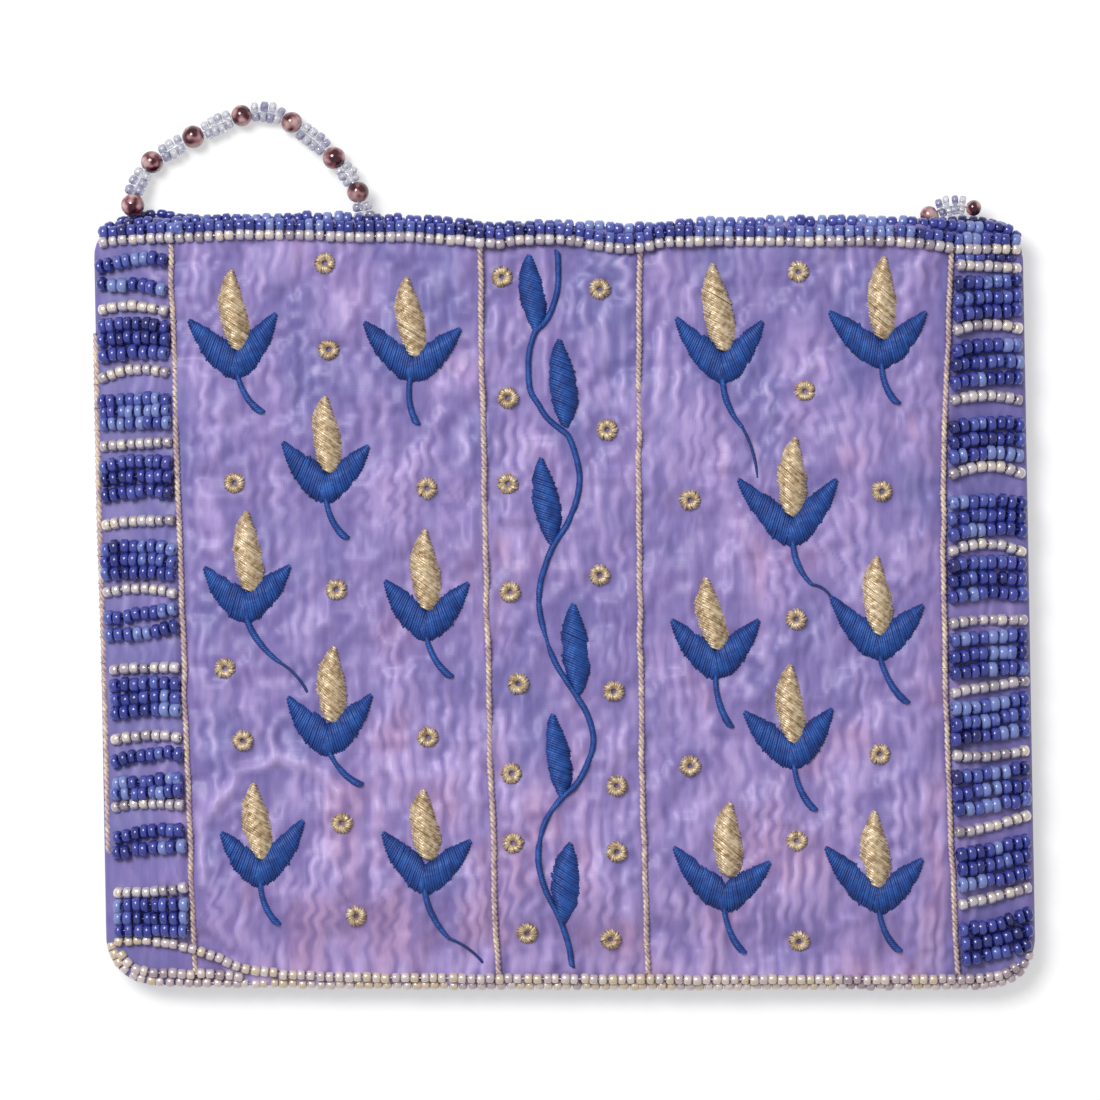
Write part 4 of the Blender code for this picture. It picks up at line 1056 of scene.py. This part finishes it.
for side_name in ("left", "right"):
    node = side_name + "_border_beads"
    rows = [border_route(side_name, places, BLUE_BEAD[0]) for places in BLUE_ROWS[side_name]]
    bead_rows(side_name + "_border_blue", rows, BLUE_BEAD, blue_glass, node, 11, loose=0.00014)
    rows = [border_route(side_name, places, WHITE_BEAD[0]) for places in WHITE_ROWS[side_name]]
    bead_rows(side_name + "_border_white", rows, WHITE_BEAD, white_glass, node, 12)


# The mouth and bottom edgings.
# The front's mouth has two rows of blue seed beads and a row of silver-lined white ones below them, and
# the back's mouth one blue row. White and pale gold rows bind the bottom seam.

MOUTH_BEAD = (0.00176, 0.00136)  # across, and along the thread
BACK_BEAD = (0.00112, 0.00136)
CORNER_ROW = (0.0527, 0.0611, 0.0463)  # both ends in X, and Y, of a short row at the right corner
BOTTOM_BEAD = (0.00138, 0.00128)
WHITE_LINE = (  # X and Y of the white mouth row in millimetres
    (-63, 48.4), (-60, 48.8), (-54, 48.9), (-50, 49), (-46, 49.2), (-38, 49.4), (-34, 49.4),
    (-30, 49.1), (-22, 49.1), (-18, 48.8), (-14, 48.6), (-11, 48.2), (-9, 48.1), (-6, 48.7), (-1, 48.8),
    (2, 48.4), (4, 47.9), (6.5, 47.5), (9, 47.5), (11, 47.8), (14, 48.4), (20, 48.5), (44, 48.5),
    (48, 48.2), (52, 47.6), (62, 47.5),
)
LOW_LINE = (  # the outer bottom row
    (-61.6, -46.2), (-61.2, -47.5), (-60.5, -49), (-59.3, -50.3), (-57.6, -51.2), (-55.5, -51.7),
    (-52, -51.8), (-46, -51.9), (-36, -52), (-26, -52.1), (0, -52.2), (30, -52.2), (50, -52.2),
    (57, -52.1), (59.8, -51.5), (61.7, -50.2), (62.7, -48.6), (63, -47.6),
)
HIGH_LINE = (  # the upper bottom row, which climbs over the left border's foot
    (-61, -46), (-59.6, -46.3), (-57, -46.1), (-54, -46.4), (-52, -46.8), (-50, -47.2), (-48, -48),
    (-46, -48.8), (-44.5, -49.5), (-43, -49.9), (-40, -50.4), (-36, -50.8), (-26, -51.1), (0, -51.3),
    (30, -51.4), (50, -51.3), (57, -51.1), (60, -50.4), (61.5, -49.3),
)
MIDDLE_LINE = (  # a short row between them at the left corner
    (-60.3, -47.6), (-58.8, -49.5), (-56.5, -50.4), (-52, -50.6), (-47, -50.7), (-43.5, -51.1),
)
BOTTOM_ROWS = ((LOW_LINE, 0.1), (HIGH_LINE, 0.6), (MIDDLE_LINE, 0.5))  # and how high each lies, in beads

# Clear glass seed beads with a gold-lined hole, for the bottom edge: pale, some pinkish and some straw,
# with swirls of about 1.1 mm
warm_white_glass = bead_glass("gold_lined_seed_bead_glass", 900.0, 0.45, [
    (0.15, "#a8959e"), (0.45, "#c8b8bc"), (0.75, "#e0d2d0"), (1.00, "#d6c4ae")], {
    "Roughness": 0.28, "Metallic": 0.25, "Coat Weight": 0.5, "Coat Roughness": 0.08})

x = np.linspace(-HALF_W - 0.0001, HALF_W - 0.0013, 164)
top_y = mouth_at(MOUTH_LINE, x) + 0.00012 * soft_noise(x, 0.0 * x, 0.003, 1.0, 55) - MOUTH_BEAD[0] * 0.43
white_y = mouth_at(WHITE_LINE, x) + 0.00010 * soft_noise(x, 0.0 * x, 0.005, 1.0, 56)
low_y = white_y + (WHITE_BEAD[0] + MOUTH_BEAD[0]) * 0.37
rows = [laid(x, top_y, -MOUTH_BEAD[0] * 0.10), laid(x, low_y, MOUTH_BEAD[0] * 0.48)]
bead_rows("mouth_blue_rows", rows, MOUTH_BEAD, blue_glass, "front_mouth_blue_beads", 21,
          loose=0.00016)
row = laid(x, white_y, WHITE_BEAD[0] * 0.5)
bead_rows("mouth_white_row", [row], WHITE_BEAD, white_glass, "front_mouth_white_beads", 22)

x = np.linspace(-HALF_W + 0.0022, HALF_W - 0.0030, 150)
row_y = mouth_at(BACK_MOUTH_LINE, x) - BACK_BEAD[0] / 2
row = np.stack([x, row_y, back_under(x, row_y) + BACK_BEAD[0] * 0.62], axis=-1)
bead_rows("back_mouth_row", [row], BACK_BEAD, blue_glass, "back_mouth_beads", 23,
          loose=0.00012)

x = np.linspace(CORNER_ROW[0], CORNER_ROW[1], 16)
row = laid(x, 0.0 * x + CORNER_ROW[2], BACK_BEAD[0] * 0.5)
bead_rows("right_corner_blue_row", [row], BACK_BEAD, blue_glass, "right_border_beads", 25)

rows = [laid(*smoothed(np.array(line) * MM, 0.0008).T, BOTTOM_BEAD[0] * lift) for line, lift in BOTTOM_ROWS]
bead_rows("bottom_rows", rows, BOTTOM_BEAD, warm_white_glass, "bottom_beads", 24,
          loose=0.00010)


# The strap.
# Two strands of clear lavender seed beads that pass together through round amethyst glass beads, sewn
# to both top corners. It rises in an arc from the left corner and goes in at the mouth, where the rest
# of it lies in a loop inside the pouch, and comes out again at the right corner.

STRAP_ROUTE = (  # its middle line from the left end to the right, in metres
    (-0.0587, 0.0528, 0.0034), (-0.0583, 0.056, 0.0024), (-0.0562, 0.0594, 0.0016),
    (-0.0532, 0.0614, 0.0016), (-0.0483, 0.0641, 0.0016), (-0.044, 0.0658, 0.0016),
    (-0.0405, 0.0663, 0.0016), (-0.037, 0.0648, 0.0015), (-0.0317, 0.0604, 0.0021),
    (-0.0283, 0.0558, 0.0029), (-0.027, 0.051, 0.0032), (-0.0262, 0.043, 0.0032),
    (-0.0258, 0.03, 0.0032), (-0.0254, 0.014, 0.0032), (-0.0242, -0.001, 0.0032),
    (-0.02, -0.013, 0.0032), (-0.011, -0.0215, 0.0032), (0, -0.025, 0.0032), (0.012, -0.025, 0.0032),
    (0.024, -0.0215, 0.0032), (0.0345, -0.013, 0.0032), (0.04, -0.001, 0.0032), (0.0425, 0.014, 0.0032),
    (0.0438, 0.03, 0.0032), (0.0449, 0.043, 0.0032), (0.0474, 0.0494, 0.0034), (0.0498, 0.0524, 0.0039),
    (0.0526, 0.0535, 0.0042), (0.0552, 0.0532, 0.004), (0.0563, 0.0527, 0.0037),
)
ROUND_BEAD = 0.0031
ROUND_BEAD_STEP = 0.00675
ROUND_BEAD_LONG = 0.96  # length along the thread, in widths
SMALL_ROUND_BEADS = (0.84, 0.74)  # the two near the right end are smaller
ARC_BEADS = (  # X and Y in millimetres of the round beads that show in the arc
    (-58.7, 53.6), (-56, 59.4), (-50.4, 62.8), (-43.9, 65.7), (-37.3, 64.7), (-31.3, 60.1), (-28.1, 55.4),
)
HUMP_BEADS = ((49.3, 52.4), (55.5, 53.6))  # and at the right corner
STRAND_SPREAD = 0.00078
STRAP_SEED = 0.00130
STRAP_SEED_LONG = 0.00108
SEED_SIDES = 10
STRAP_THREAD = 0.00022
AMETHYST_SCALE = 640.0  # painted light and dark parts of about 1.6 mm, half a bead

# Clear lavender glass seed beads on white thread: pale grey violet, bright at the rims, with swirls of
# about 0.8 mm
lavender_glass = bead_glass("clear_lavender_seed_bead_glass", 1300.0, 0.40, [
    (0.15, "#aaa8cc"), (0.50, "#d0d0e6"), (0.90, "#f2f2fa")], {
    "Roughness": 0.10, "IOR": 1.50, "Transmission Weight": 0.6, "Coat Weight": 0.4, "Coat Roughness": 0.04})

# Transparent amethyst glass, pressed round: painted plum shade and painted rosy highlights in patches, for
# the deep glass and the light that comes through it
amethyst_glass, tree = new_material("amethyst_pressed_glass")
coords = add_node(tree, "TexCoord").outputs["Object"]
swirl = add_node(tree, "TexNoise", {"Vector": coords, "Scale": AMETHYST_SCALE, "Detail": 1.0})
tint = add_node(tree, "ValToRGB", {"Fac": swirl}, stops=[
    (0.41, "#430f20"), (0.47, "#8a4654"), (0.53, "#c48c90"), (0.64, "#eac6c2")])
glass = add_node(tree, "BsdfPrincipled", {
    "Base Color": tint, "Roughness": 0.07, "IOR": 1.52, "Transmission Weight": 0.4, "Coat Weight": 0.5,
    "Coat Roughness": 0.03})
add_node(tree, "OutputMaterial", {"Surface": glass})

strap_line = smoothed(STRAP_ROUTE, 0.0002)
strap_steps = distances(strap_line)
strap_length = float(strap_steps[-1])


def nearest_on_strap(places):
    """Distances along the strap of the points on it that are nearest to places in millimetres."""
    away = (np.hypot(strap_line[:, 0] - x * MM, strap_line[:, 1] - y * MM) for x, y in places)
    return [strap_steps[np.argmin(distance)] for distance in away]


arc = nearest_on_strap(ARC_BEADS)
hump = nearest_on_strap(HUMP_BEADS)
hidden_count = int(round((hump[0] - arc[-1]) / ROUND_BEAD_STEP)) - 1
hidden = [arc[-1] + (hump[0] - arc[-1]) * (k + 1) / (hidden_count + 1) for k in range(hidden_count)]
round_places = np.array(sorted(arc + hidden + hump))

points, ahead = along_route(strap_line, round_places)
random = np.random.RandomState(77)
ball_wide = ROUND_BEAD * random.uniform(0.95, 1.05, len(points))
ball_wide[-2:] *= SMALL_ROUND_BEADS
angle = np.radians(np.linspace(-68, 68, 9))
ball = [*zip(np.sin(angle) * 0.5, np.cos(angle)), (0.40, 0.22), (-0.40, 0.22)]
points, faces = turned_beads(points, ahead, ball_wide, ball_wide * ROUND_BEAD_LONG, ball, 20)
round_beads = add_piece("strap_round_beads", points, faces, amethyst_glass, "strap", {})

starts = np.r_[0.0, round_places + ball_wide * ROUND_BEAD_LONG / 2]
ends = np.r_[round_places - ball_wide * ROUND_BEAD_LONG / 2, strap_length]
parts = []
for start, length in zip(starts, ends - starts):
    count = int(round(length / STRAP_SEED_LONG))
    if count < 1:
        continue
    share = (np.arange(count) + 0.5) / count
    point, ahead = along_route(strap_line, start + length * share)
    side, upright = beside_and_above(ahead)
    turn = 0.5 * soft_noise(start + length * share, 0.0 * share, 0.012, 1.0, 83)[:, None]
    opened = STRAND_SPREAD * (0.72 + 0.28 * np.sin(np.pi * share))[:, None]
    apart = (side * np.cos(turn) + upright * np.sin(turn)) * opened
    for strand in (-1.0, 1.0):
        centre = point + strand * apart + random.uniform(-0.00008, 0.00008, point.shape)
        along = ahead + random.uniform(-0.16, 0.16, ahead.shape)
        wide = STRAP_SEED * random.uniform(0.92, 1.10, count)
        long = length / count * random.uniform(0.80, 0.96, count)
        beads = turned_beads(centre, along, wide, long, BEAD_SHAPE, SEED_SIDES)
        parts.append((*beads, random.uniform(0.0, 1.0, count)))
parts.append((*tubes(strap_line[None, ::4], STRAP_THREAD, 5), [0.8]))
points, faces, shade = joined(parts)
strap = add_piece("strap_strands", points, faces, lavender_glass, "strap", {"shade": shade})
